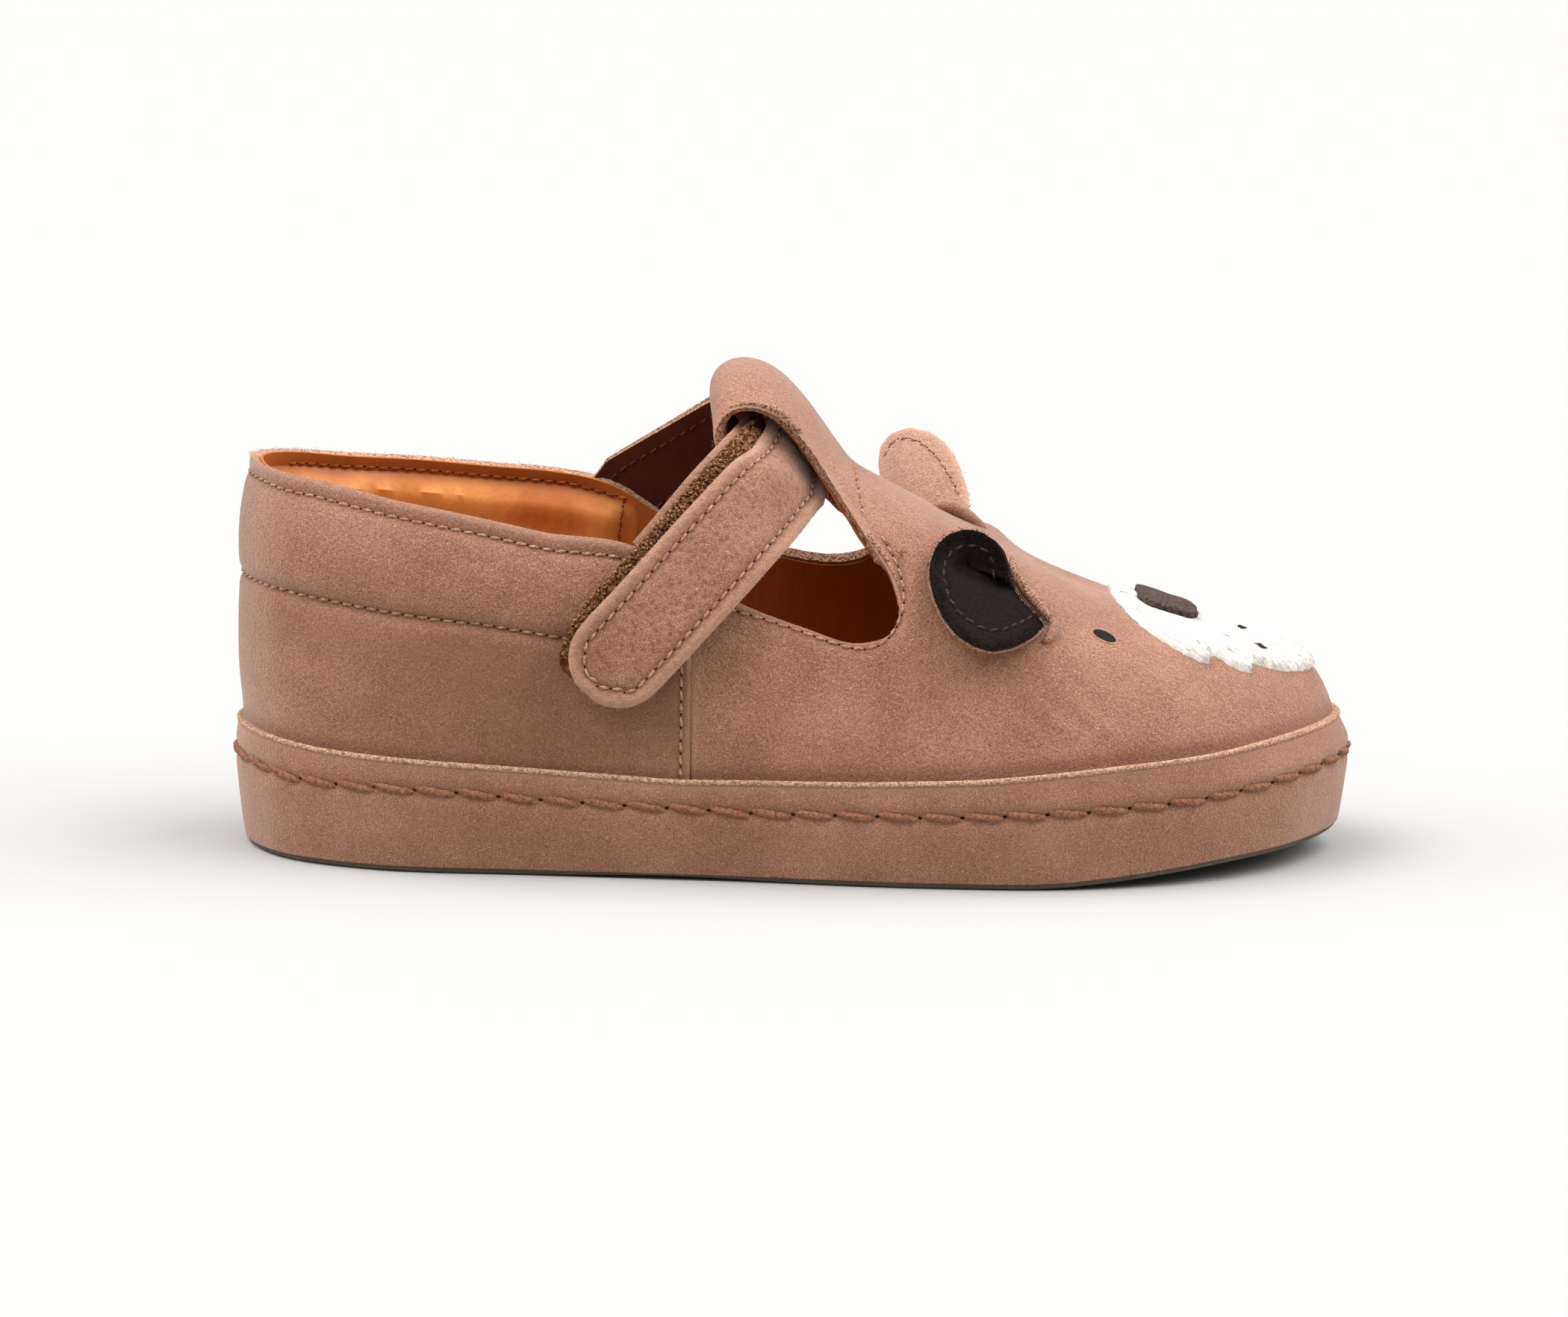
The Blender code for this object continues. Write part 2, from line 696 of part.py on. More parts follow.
def make_strap():
    line = strap_line()
    loop_tape = strap_sheet(line, GAP, TAPE_WIDTH, 0.0, TAPE_END, 16, 5, True, False)
    second = GAP + TAPE_THICK + GAP
    hook_tape = strap_sheet(line, second, TAPE_WIDTH, 0.02, TAPE_END, 16, 5, True, False)
    strap = strap_sheet(line, strap_lift, STRAP_WIDTH, 0.0, 1.0, 30, 7, True, True, STRAP_PINCH)
    for name, sheet, thick, finish_name in (
        ("fastener_loop_tape", loop_tape, TAPE_THICK, "hook_and_loop"),
        ("fastener_hook_tape", hook_tape, TAPE_THICK, "hook_and_loop"),
        ("strap", strap, STRAP_THICK, "nubuck"),
    ):
        mesh = bmesh.new()
        add_grid(mesh, sheet, flip=True)
        thicken(mesh_object(name, mesh, finish_name), thick, offset=1.0)


def surface_tree(*parts):
    """A search tree over these parts' finished faces, in millimetres."""
    bpy.context.view_layer.update()
    graph = bpy.context.evaluated_depsgraph_get()
    mesh = bmesh.new()
    for part in parts:
        mesh.from_object(part, graph)
    bmesh.ops.scale(mesh, vec=Vector((1, 1, 1)) / MM, verts=mesh.verts)
    tree = BVHTree.FromBMesh(mesh)
    mesh.free()
    return tree


def make_ear(name, vamp):
    """One ear: an outer layer of nubuck and a dark lining in front of it, cupped, with its base on the vamp."""
    side, along, height, length, rise_way, face = EAR_SETS[name]
    base = upper_surface(*chart_at(along, height, side))
    rise_way = unit(np.array(rise_way))
    face = np.array(face) - rise_way * (np.array(face) @ rise_way)
    face = unit(face)
    aside = np.cross(rise_way, face)
    rises = np.linspace(0, 1, EAR_ROWS)
    across = np.linspace(-1, 1, 9)
    half = column(EAR_COLUMNS, EAR, "half", rises)
    cup = column(EAR_COLUMNS, EAR, "cup", rises)
    sheet = (
        base
        + rises[:, None, None] * length * rise_way
        + (half[:, None] * across)[..., None] * aside
        + (cup[:, None] * across**2)[..., None] * face
    )
    fade = smooth_step(1 - rises / 0.4)[:, None]
    for c in range(len(across)):
        spot, facing, _, _ = vamp.find_nearest(Vector(sheet[0, c]))
        settled = np.array(spot + facing * (EAR_THICK + 2 * GAP))
        sheet[:, c] += fade * (settled - sheet[0, c])
    for r, c in np.ndindex(sheet.shape[:2]):
        spot, facing, _, _ = vamp.find_nearest(Vector(sheet[r, c]))
        clear = (Vector(sheet[r, c]) - spot).dot(facing)
        sheet[r, c] += np.array(facing) * max(EAR_THICK + 2 * GAP - clear, 0)
    facing = unit(np.cross(np.gradient(sheet, axis=1), np.gradient(sheet, axis=0)))
    flip = facing[4, 4] @ face < 0
    facing = facing * (-1 if flip else 1)
    for layer, shift, finish_name in (
        (name, -EAR_THICK - GAP / 2, "nubuck"),
        (name + "_lining", GAP / 2, "dark_leather"),
    ):
        mesh = bmesh.new()
        add_grid(mesh, sheet + shift * facing, flip)
        thicken(mesh_object(layer, mesh, finish_name), EAR_THICK, offset=1.0)


def make_patch(name, rows, thick, below, finish_name):
    """A patch that lies on what is below it, from its half widths along the toe."""
    stations = np.linspace(rows[0][0], rows[-1][0], PATCH_ROWS)
    across = np.linspace(-1, 1, PATCH_ROWS - 2)
    half = column(PATCH_COLUMNS, rows, "half", stations)
    sheet = np.zeros((len(stations), len(across), 3))
    for r, along in enumerate(stations):
        for c, share in enumerate(across):
            above = Vector((along, FACE_AXIS + half[r] * share, 90))
            spot, facing, _, _ = below.ray_cast(above, Vector((0, 0, -1)))
            sheet[r, c] = np.array(spot + facing * GAP)
    mesh = bmesh.new()
    add_grid(mesh, sheet, flip=True)
    part = mesh_object(name, mesh, finish_name)
    thicken(part, thick, offset=1.0)
    return part


def stand_at_origin():
    """Moves the whole shoe so that its box stands on the origin by the middle of its underside."""
    bpy.context.view_layer.update()
    graph = bpy.context.evaluated_depsgraph_get()
    corners = []
    for part in PARTS.objects:
        if part.type == "MESH":
            mesh = part.evaluated_get(graph).to_mesh()
            corners.extend(vertex.co[:] for vertex in mesh.vertices)
            part.evaluated_get(graph).to_mesh_clear()
    corners = np.array(corners)
    low, high = corners.min(axis=0), corners.max(axis=0)
    SHOE.location = (-(low[0] + high[0]) / 2, -(low[1] + high[1]) / 2, -low[2])


for old in list(bpy.data.objects):
    bpy.data.objects.remove(old)
PARTS = bpy.data.collections.new("tbar_shoe")
bpy.context.scene.collection.children.link(PARTS)
SHOE = bpy.data.objects.new("shoe", None)
PARTS.objects.link(SHOE)

make_sole()
upper = make_upper()
make_strap()
vamp = surface_tree(upper)
for ear in EAR_SETS:
    make_ear(ear, vamp)
muzzle = make_patch("muzzle", MUZZLE, MUZZLE_THICK, vamp, "hair_hide")
make_patch("nose", NOSE, NOSE_THICK, surface_tree(muzzle), "dark_leather")
stand_at_origin()
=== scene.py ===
"""Looks of a child's T-bar shoe for the right foot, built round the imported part.

The toe points along +X and the seen, lateral side is -Y. Readings from the pattern are in millimetres from
the pattern's own zero, which lies at ZERO in the frame; every mesh is in metres in the frame.
"""

import json
import math
from contextlib import contextmanager

import bpy
import numpy as np
from mathutils import Matrix, Vector
from mathutils.bvhtree import BVHTree
from mathutils.kdtree import KDTree

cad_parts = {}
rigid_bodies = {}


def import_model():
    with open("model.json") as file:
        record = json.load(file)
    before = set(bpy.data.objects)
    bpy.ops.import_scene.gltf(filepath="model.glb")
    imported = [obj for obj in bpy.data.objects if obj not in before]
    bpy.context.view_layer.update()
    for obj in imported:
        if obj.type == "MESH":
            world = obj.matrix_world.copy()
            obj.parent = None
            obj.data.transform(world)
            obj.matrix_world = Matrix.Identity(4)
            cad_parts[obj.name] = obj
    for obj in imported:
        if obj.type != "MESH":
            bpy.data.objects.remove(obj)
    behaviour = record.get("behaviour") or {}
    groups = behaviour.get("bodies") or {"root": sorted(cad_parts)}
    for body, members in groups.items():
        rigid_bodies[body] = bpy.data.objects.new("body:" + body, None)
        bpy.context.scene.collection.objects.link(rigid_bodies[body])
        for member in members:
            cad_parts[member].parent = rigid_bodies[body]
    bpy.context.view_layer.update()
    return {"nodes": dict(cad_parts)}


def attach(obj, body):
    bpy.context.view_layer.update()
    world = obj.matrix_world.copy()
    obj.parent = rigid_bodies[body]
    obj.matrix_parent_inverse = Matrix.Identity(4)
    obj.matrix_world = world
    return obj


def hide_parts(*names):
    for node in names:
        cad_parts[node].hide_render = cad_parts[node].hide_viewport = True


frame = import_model()

MM = 0.001
ZERO = np.array([-0.3, 0.975, 0.0])
LATERAL, MEDIAL = -1, 1
RANDOM = np.random.default_rng(7)

# The photograph's camera: its frame and focal length in pixels, and where it aims
PHOTO = (2100, 1764)
FOCAL = 6958.0
AIM_PIXEL = (1062.6, 836.0)
AIM = np.array([0.0, 0.0, 34.35])
CAMERA_DISTANCE = 800.0
CAMERA_RISE = 10.0
CAMERA_ROLL = 0.7

# Thickness of the layers
OUTER_THICK = 1.5
LINING_THICK = 0.45
STRAP_THICK = 1.3
STRAP_LINING_THICK = 0.65
TAPE_THICK = 0.9
TAB_EDGE_THICK = 1.1
EAR_THICK = 0.7
HIDE_THICK = 0.25

# Heights of the collar's seam and of the collar and cut-out edges on each side
SEAM_COLUMNS = ("along", "height")
COLLAR_SEAM = (
    (-86.0, 42.2), (-77.0, 41.5), (-69.0, 40.6), (-60.0, 39.5), (-46.0, 38.0), (-33.5, 36.2), (-22.0, 34.3),
)
EDGE_COLUMNS = ("along", "lateral", "medial")
EDGE = (
    (-83.0, 59.9, 59.9),
    (-76.0, 58.8, 58.7),
    (-72.0, 58.5, 58.0),
    (-60.0, 56.25, 57.0),
    (-48.0, 54.15, 56.0),
    (-36.0, 51.7, 55.2),
    (-27.0, 51.05, 53.0),
    (-20.0, 48.8, 48.0),
    (-8.0, 41.6, 45.4),
    (4.0, 37.5, 42.6),
    (9.0, 35.8, 42.2),
    (13.8, 36.8, 43.4),
)
# How far the lateral collar hangs below that edge, and the height of the wrap's top edge
SAG_COLUMNS = ("along", "drop")
SAG = (
    (-84.0, 0.0), (-76.0, 1.3), (-72.0, 1.7), (-60.0, 2.05), (-48.0, 1.75), (-36.0, 1.3), (-27.0, 0.25),
    (-22.0, 0.0),
)
RIM_COLUMNS = ("along", "height")
RIM = (
    (-86.0, 19.6), (-72.0, 18.3), (-48.0, 17.1), (-17.0, 15.5), (10.0, 16.1), (28.0, 16.9), (47.0, 18.8),
    (65.0, 20.1), (86.0, 21.6),
)
# Places along the shoe: the seam between quarter and vamp, where the darker vamp lining starts, a piece of
# its own whose darkness is painted shade of the toe's inside, and the middles of the heel's and the toe's
# bows
SIDE_SEAM = -15.2
SHADED_LINING_START = -20.0
HEEL_TURN = -56.0
TOE_TURN = 54.0
# The face's middle line, to the medial side of the shoe's
FACE_AXIS = 2.4
# The outer sheets end at this height, out of sight behind the wrap
SHEET_FOOT = 12.5
# Open edges of fewer points than this are only corners
SHORT_RIM = 8
PIXELS_PER_MM = 8.7

# Read from the photograph in its own pixels: rows of stitches, then the face
THREAD_PIXELS = (
    (326, 1012), (348, 1024), (386, 1040), (428, 1048), (480, 1054), (536, 1058), (596, 1062), (648, 1066),
    (700, 1070), (758, 1074), (816, 1078), (1000, 1090), (1200, 1096), (1300, 1096), (1406, 1093),
    (1510, 1084), (1610, 1073), (1688, 1054), (1772, 1024), (1798, 1010),
)
CUT_OUT_PIXELS = (
    (980, 817), (1020, 825), (1067, 842), (1113, 862), (1140, 870), (1157, 872), (1174, 868), (1187, 860),
    (1200, 845), (1208, 827), (1212, 810), (1213, 793), (1208, 763), (1195, 737), (1184, 722),
)
BAR_EDGE = (
    (964, 556), (983, 543), (1010, 540), (1042, 551), (1068, 578), (1093, 616), (1113, 652), (1138, 685),
    (1163, 717), (1183, 743), (1197, 767), (1207, 796),
)
BAR_PIXELS = ((1143, 620), (1146, 640), (1150, 660), (1156, 687))
# The strap's left row of stitches, its edges in pixels from that row, its far run's upper edge, and the edge
# of the tape that shows past it
STRAP_LINE = ((795, 852), (1043, 580))
STRAP_BAND = (-22.0, 114.0)
FAR_STRAP_EDGE = ((797, 616), (950, 529))
TAPE_EDGE = (
    (1003, 564), (992, 577), (980, 589), (955, 615), (929, 643), (899, 679), (874, 709), (845, 742),
    (815, 773), (791, 799), (772, 826), (759, 851), (750, 871), (747, 886), (754, 899),
)
NEAR_EAR = (
    (1401, 836), (1385, 852), (1360, 864), (1330, 870), (1304, 862), (1280, 846), (1262, 822), (1250, 795),
    (1245, 772), (1247, 750), (1256, 729), (1272, 715), (1292, 709), (1312, 712), (1330, 724), (1342, 742),
    (1348, 760), (1349, 776), (1358, 790), (1372, 806), (1388, 822),
)
NEAR_EAR_MIDDLE = (1315, 780)
NEAR_EAR_STITCHES = (
    (1331, 768), (1330, 752), (1324, 740), (1312, 732), (1292, 730), (1275, 738), (1266, 752), (1263, 770),
    (1270, 800), (1285, 821), (1305, 837), (1325, 845), (1345, 843), (1365, 835), (1388, 823),
)
FAR_EAR = (
    (1180, 655), (1175, 620), (1178, 597), (1192, 580), (1217, 571), (1243, 576), (1263, 589), (1278, 607),
    (1288, 629), (1296, 654), (1299, 676), (1286, 698), (1256, 702), (1228, 694), (1198, 676),
)
FAR_EAR_MIDDLE = (1240, 640)
FAR_EAR_FACES = (-0.3, -0.62, 0.72)
FAR_EAR_STITCHES = (
    (1187, 606), (1195, 593), (1212, 587), (1230, 591), (1245, 602), (1257, 615), (1267, 630), (1275, 642),
    (1282, 658),
)
FAR_EAR_FOLD = ((1242, 678), (1256, 672), (1271, 674), (1286, 681), (1300, 691), (1313, 702), (1326, 717))
NEAR_EAR_CREASE = ((1276, 756), (1349, 781))
NEAR_EAR_SLIT = ((1349, 776), (1372, 806), (1401, 836))
NEAR_EAR_RAW = ((1350, 752), (1354, 766), (1362, 782), (1374, 798), (1388, 812), (1400, 826), (1409, 838))
NEAR_EAR_TUCK = ((1404, 829), (1411, 838), (1409, 850), (1401, 859), (1394, 858))
NEAR_EAR_SEAT = ((1351, 772), (1405, 838), (1270, 815))
EYE = (1479, 852)
LOOSE_END = (1207, 744)
# Places of the dark hairs on the muzzle, how many grow at each and how thick they are in millimetres
FRECKLES = (
    (1659, 840, 16, 0.2), (1686, 864, 16, 0.2), (1640, 851, 2, 0.1), (1642, 869, 2, 0.1), (1601, 859, 2, 0.1),
)
# The near cheek's edge, and where each of its two tufts of longer hair starts and ends
CHEEK = (
    (1486, 784), (1494, 805), (1510, 823), (1528, 840), (1552, 857), (1574, 871), (1593, 881), (1610, 889),
    (1620, 891), (1621, 879), (1630, 881), (1644, 891), (1661, 900), (1677, 904), (1677, 896), (1676, 889),
    (1683, 891), (1698, 896), (1722, 901), (1744, 900), (1756, 897),
)
TUFTS = (((1600, 876), (1621, 892)), ((1656, 886), (1680, 906)))


def read(columns, rows, name, at):
    """A table's column between its rows."""
    keys = [row[0] for row in rows]
    return np.interp(at, keys, [row[columns.index(name)] for row in rows])


def level(pixels):
    """Pixels as points at height nothing."""
    return np.column_stack([pixels, np.zeros(len(pixels))])


def smooth(t):
    t = np.clip(t, 0, 1)
    return t * t * (3 - 2 * t)


def bell(distance, width):
    return np.exp(-((distance / width) ** 2))


def unit(vectors):
    return vectors / np.maximum(np.linalg.norm(vectors, axis=-1, keepdims=True), 1e-12)


STRAP_RUN = unit(np.array(STRAP_LINE[1], float) - np.array(STRAP_LINE[0], float))
STRAP_OVER = np.array([-STRAP_RUN[1], STRAP_RUN[0]])


def srgb(code):
    """A hex colour as linear red, green, blue and alpha."""
    parts = [int(code[k : k + 2], 16) / 255 for k in (1, 3, 5)]
    return (*[c / 12.92 if c <= 0.04045 else ((c + 0.055) / 1.055) ** 2.4 for c in parts], 1.0)


# Camera, light and floor


def make_camera():
    rise = math.radians(CAMERA_RISE)
    place = AIM + ZERO + CAMERA_DISTANCE * np.array([0, -math.cos(rise), math.sin(rise)])
    bpy.ops.object.camera_add()
    camera = bpy.context.object
    turn = Matrix.Rotation(math.pi / 2 - rise, 4, "X") @ Matrix.Rotation(math.radians(CAMERA_ROLL), 4, "Z")
    camera.matrix_world = Matrix.Translation(Vector(place * MM)) @ turn
    camera.data.sensor_fit = "HORIZONTAL"
    camera.data.sensor_width = 36.0
    camera.data.lens = FOCAL * 36.0 / PHOTO[0]
    camera.data.shift_x = (PHOTO[0] / 2 - AIM_PIXEL[0]) / PHOTO[0]
    camera.data.shift_y = (AIM_PIXEL[1] - PHOTO[1] / 2) / PHOTO[0]
    camera.data.clip_start = 0.01
    camera.data.clip_end = 50
    bpy.context.scene.camera = camera
    return camera


def make_light(name, towards, strength, spread):
    bpy.ops.object.light_add(type="SUN")
    light = bpy.context.object
    light.name = name
    light.rotation_euler = Vector(towards).to_track_quat("-Z", "Y").to_euler()
    light.data.energy = strength
    light.data.angle = math.radians(spread)


def make_studio():
    scene = bpy.context.scene
    scene.view_settings.view_transform = "Standard"
    world = bpy.data.worlds.new("studio")
    world.use_nodes = True
    sky = world.node_tree.nodes["Background"].inputs
    sky["Color"].default_value = (1, 1, 1, 1)
    sky["Strength"].default_value = 0.33
    scene.world = world
    make_light("softbox_left", (0.75, 0.1, -0.9), 3.0, 60)
    make_light("softbox_right", (-0.75, 0.08, -0.9), 2.8, 60)
    make_light("softbox_top", (0.0, 0.05, -1.0), 1.6, 90)
    bpy.ops.mesh.primitive_plane_add(size=24)
    floor = bpy.context.object
    floor.name = "floor"
    # Matte paint: it takes soft shadows and shows no reflection
    white, _, _ = new_material("matte_white_floor", Base_Color=srgb("#b1b0af"), Roughness=0.9)
    floor.data.materials.append(white)


# Materials


def add_node(tree, kind, links=None, **settings):
    """A node with its settings; links holds a value or another node's output for each input."""
    node = tree.nodes.new("ShaderNode" + kind)
    for name, value in settings.items():
        setattr(node, name, value)
    for socket, source in (links or {}).items():
        if isinstance(source, bpy.types.NodeSocket):
            tree.links.new(source, node.inputs[socket])
        else:
            node.inputs[socket].default_value = source
    return node


def new_material(name, **constants):
    """A material with constants on its shader's sockets."""
    material = bpy.data.materials.new(name)
    material.use_nodes = True
    shader = material.node_tree.nodes["Principled BSDF"]
    for socket, value in constants.items():
        shader.inputs[socket.replace("_", " ")].default_value = value
    return material, material.node_tree, shader


def nubuck(name, deep, middle, pale, pebble, cell):
    """Nubuck: cowhide buffed on the grain side. Short fibres give a dry face, finely flecked dark and pale
    over soft blotches; its pores show as pebbles of the cell size in millimetres, and its edges are pale."""
    finish = {"Roughness": 0.9, "Specular_IOR_Level": 0.2, "Sheen_Weight": 0.42, "Sheen_Roughness": 0.4}
    material, tree, shader = new_material(name, Sheen_Tint=srgb("#fffaf6"), **finish)
    place = add_node(tree, "TexCoord").outputs["Object"]
    noises = []
    # Blotches of 30 mm, clouds of 8 mm, flecks of 0.2 mm, loose fibres of 0.25 mm
    for scale, detail, rough in ((33.0, 3.0, 0.6), (120.0, 3.0, 0.6), (5600.0, 1.0, 0.5), (4200.0, 0.0, 0.5)):
        inputs = {"Vector": place, "Scale": scale, "Detail": detail, "Roughness": rough}
        noises.append(add_node(tree, "TexNoise", inputs).outputs["Fac"])
    blotch, cloud, fleck, loose = noises
    pore = add_node(tree, "TexVoronoi", {"Vector": place, "Scale": 1000.0 / cell}).outputs["Distance"]
    tone = add_node(tree, "Math", {0: blotch, 1: cloud}, operation="ADD").outputs[0]
    mixed = add_node(tree, "Math", {0: fleck, 1: 3.4, 2: tone}, operation="MULTIPLY_ADD")
    ramp = add_node(tree, "MapRange", {"Value": mixed.outputs[0], "From Min": 1.7, "From Max": 3.7})
    body = add_node(tree, "ValToRGB", {"Fac": ramp.outputs[0]})
    stops = body.color_ramp.elements
    stops[0].color = srgb(deep)
    stops[1].color = srgb(pale)
    stops.new(0.5).color = srgb(middle)
    hollow = {"Value": pore, "From Min": 0.12, "From Max": 0.5, "To Min": pebble, "To Max": 0.0}
    pit = add_node(tree, "MapRange", hollow).outputs[0]
    shine = {"Value": loose, "From Min": 0.64, "From Max": 0.78, "To Min": 0.0, "To Max": 0.8}
    glint = add_node(tree, "MapRange", shine).outputs[0]
    rubbed = add_node(tree, "Attribute", attribute_name="pale_edge").outputs["Fac"]
    worn = add_node(tree, "Math", {0: rubbed, 1: 0.55}, operation="MULTIPLY").outputs[0]
    # Painted shade: darker where this attribute is set, along stitch grooves, above the wrap's edge and under
    # the collar's seam
    shade_paint = add_node(tree, "Attribute", attribute_name="painted_shade_and_facing").outputs["Fac"]
    colour = body.outputs[0]
    for factor, tint in ((pit, deep), (glint, pale), (worn, pale), (shade_paint, deep)):
        layer = add_node(tree, "Mix", {"Factor": factor, 6: colour, 7: srgb(tint)}, data_type="RGBA")
        colour = layer.outputs[2]
    tree.links.new(colour, shader.inputs["Base Color"])
    nap = add_node(tree, "Bump", {"Height": fleck, "Strength": 0.6, "Distance": 0.0003}).outputs[0]
    relief = {"Height": pore, "Strength": 0.2 + pebble, "Distance": 0.0002, "Normal": nap}
    tree.links.new(add_node(tree, "Bump", relief).outputs[0], shader.inputs["Normal"])
    return material


def fine_texture(name, pale, dark, size, noise=(2.0, 0.6), spread=(0.35, 0.65), bump=(0.5, 0.0003), **finish):
    """Fibres or dust too fine to model one by one, such as suede nap, hair or spun thread: a matt body that
    is broken up into lighter and darker strands of the given size in millimetres."""
    material, tree, shader = new_material(name, **{"Roughness": 0.9, "Specular_IOR_Level": 0.12, **finish})
    place = add_node(tree, "TexCoord").outputs["Object"]
    inputs = {"Vector": place, "Scale": 1000.0 / size, "Detail": noise[0], "Roughness": noise[1]}
    strand = add_node(tree, "TexNoise", inputs).outputs["Fac"]
    ramp = add_node(
        tree, "MapRange", {"Value": strand, "From Min": spread[0], "From Max": spread[1]}
    )
    tones = {"Factor": ramp.outputs[0], 6: srgb(dark), 7: srgb(pale)}
    mix = add_node(tree, "Mix", tones, data_type="RGBA")
    tree.links.new(mix.outputs[2], shader.inputs["Base Color"])
    relief = add_node(tree, "Bump", {"Height": strand, "Strength": bump[0], "Distance": bump[1]})
    tree.links.new(relief.outputs[0], shader.inputs["Normal"])
    return material


def smooth_leather(name, deep, middle, roughness):
    """Lining leather: thin, dyed through and plated smooth, with fine wrinkles and a soft gloss. Facing
    strips are darker, partly as their own leather and partly as painted shade; past the pad's end it carries
    painted shade too."""
    material, tree, shader = new_material(name, Roughness=roughness, Specular_IOR_Level=0.3)
    place = add_node(tree, "TexCoord").outputs["Object"]
    stretch = add_node(tree, "Mapping", {"Vector": place, "Scale": (1.0, 1.0, 0.35)}).outputs[0]
    noises = []
    # Clouds of 12 mm, wrinkles of 3 mm; pores of 0.6 mm
    for vector, scale, detail, rough in ((place, 80.0, 4.0, 0.6), (stretch, 330.0, 3.0, 0.5)):
        inputs = {"Vector": vector, "Scale": scale, "Detail": detail, "Roughness": rough}
        noises.append(add_node(tree, "TexNoise", inputs).outputs["Fac"])
    cloud, wrinkle = noises
    pore = add_node(tree, "TexVoronoi", {"Vector": place, "Scale": 1600.0}).outputs["Distance"]
    ramp = add_node(tree, "MapRange", {"Value": cloud, "From Min": 0.35, "From Max": 0.65})
    # Painted shade and facing: the colour goes dark orange-brown where this attribute is set
    strip = add_node(tree, "Attribute", attribute_name="painted_shade_and_facing").outputs["Fac"]
    colour = srgb(deep)
    for factor, tint in ((ramp.outputs[0], middle), (strip, "#8a4516")):
        layer = add_node(tree, "Mix", {"Factor": factor, 6: colour, 7: srgb(tint)}, data_type="RGBA")
        colour = layer.outputs[2]
    tree.links.new(colour, shader.inputs["Base Color"])
    fold = add_node(tree, "Bump", {"Height": wrinkle, "Strength": 0.45, "Distance": 0.0007})
    relief = {"Height": pore, "Strength": 0.2, "Distance": 0.0001, "Normal": fold.outputs[0]}
    tree.links.new(add_node(tree, "Bump", relief).outputs[0], shader.inputs["Normal"])
    return material


# Modelling helpers


def select_only(piece):
    bpy.ops.object.select_all(action="DESELECT")
    piece.select_set(True)
    bpy.context.view_layer.objects.active = piece


def apply_modifier(piece, kind, **settings):
    select_only(piece)
    modifier = piece.modifiers.new(kind.lower(), kind)
    for name, value in settings.items():
        setattr(modifier, name, value)
    bpy.ops.object.modifier_apply(modifier=modifier.name)


def subdivide(piece, levels):
    apply_modifier(piece, "SUBSURF", levels=levels, render_levels=levels)


@contextmanager
def editing(piece, by=None, action=None):
    """Edit mode on one piece; by sets what is selected, and action selects or clears all of it at first."""
    select_only(piece)
    bpy.ops.object.mode_set(mode="EDIT")
    if by:
        bpy.ops.mesh.select_mode(type=by)
    if action:
        bpy.ops.mesh.select_all(action=action)
    yield
    bpy.ops.object.mode_set(mode="OBJECT")


def dress(piece, materials):
    """Puts a piece in the view with its materials."""
    bpy.context.scene.collection.objects.link(piece)
    piece.data.materials.clear()
    for material in materials:
        piece.data.materials.append(material)
    return piece


def copy_of(source, name, *materials):
    """A copy of an object with a mesh of its own."""
    return dress(bpy.data.objects.new(name, source.data.copy()), materials)


def new_piece(name, points, faces, *materials):
    """A smooth piece from points in pattern millimetres."""
    mesh = bpy.data.meshes.new(name)
    mesh.from_pydata(((points + ZERO) * MM).tolist(), [], faces)
    mesh.update()
    piece = dress(bpy.data.objects.new(name, mesh), materials)
    select_only(piece)
    bpy.ops.object.shade_smooth()
    return piece


def copy_node(node, name, *materials):
    """A copy of a CAD node to model on: its points merged and its triangles joined into quads."""
    piece = copy_of(frame["nodes"][node], name, *materials)
    select_only(piece)
    if piece.data.has_custom_normals:
        bpy.ops.mesh.customdata_custom_splitnormals_clear()
    with editing(piece, action="SELECT"):
        bpy.ops.mesh.remove_doubles(threshold=0.00001)
        bpy.ops.mesh.tris_convert_to_quads(face_threshold=math.radians(50), shape_threshold=math.radians(70))
        bpy.ops.mesh.select_all(action="DESELECT")
    bpy.ops.object.shade_smooth()
    return piece


def keep_side(piece, near):
    """Keeps the region of faces round the one nearest to a point, up to the piece's sharp edges."""
    with editing(piece, "EDGE", "DESELECT"):
        bpy.ops.mesh.edges_select_sharp(sharpness=math.radians(50))
        bpy.ops.mesh.mark_sharp()
        bpy.ops.mesh.select_mode(type="FACE")
        bpy.ops.mesh.select_all(action="DESELECT")
    spot = Vector((np.array(near) + ZERO) * MM)
    start = min(piece.data.polygons, key=lambda face: (face.center - spot).length)
    start.select = True
    with editing(piece):
        bpy.ops.mesh.select_linked(delimit={"SHARP"})
        bpy.ops.mesh.select_all(action="INVERT")
        bpy.ops.mesh.delete(type="FACE")
        bpy.ops.mesh.select_all(action="SELECT")
        bpy.ops.mesh.mark_sharp(clear=True)
        bpy.ops.mesh.select_all(action="DESELECT")


def choose_faces(piece, chosen):
    """Selects the faces whose middle, in pattern millimetres, is chosen."""
    with editing(piece, "FACE", "DESELECT"):
        pass
    for face in piece.data.polygons:
        face.select = bool(chosen(np.array(face.center) / MM - ZERO))


def keep_faces(piece, wanted):
    """Deletes the faces whose middle, in pattern millimetres, isn't wanted."""
    choose_faces(piece, lambda place: not wanted(place))
    with editing(piece):
        bpy.ops.mesh.delete(type="FACE")


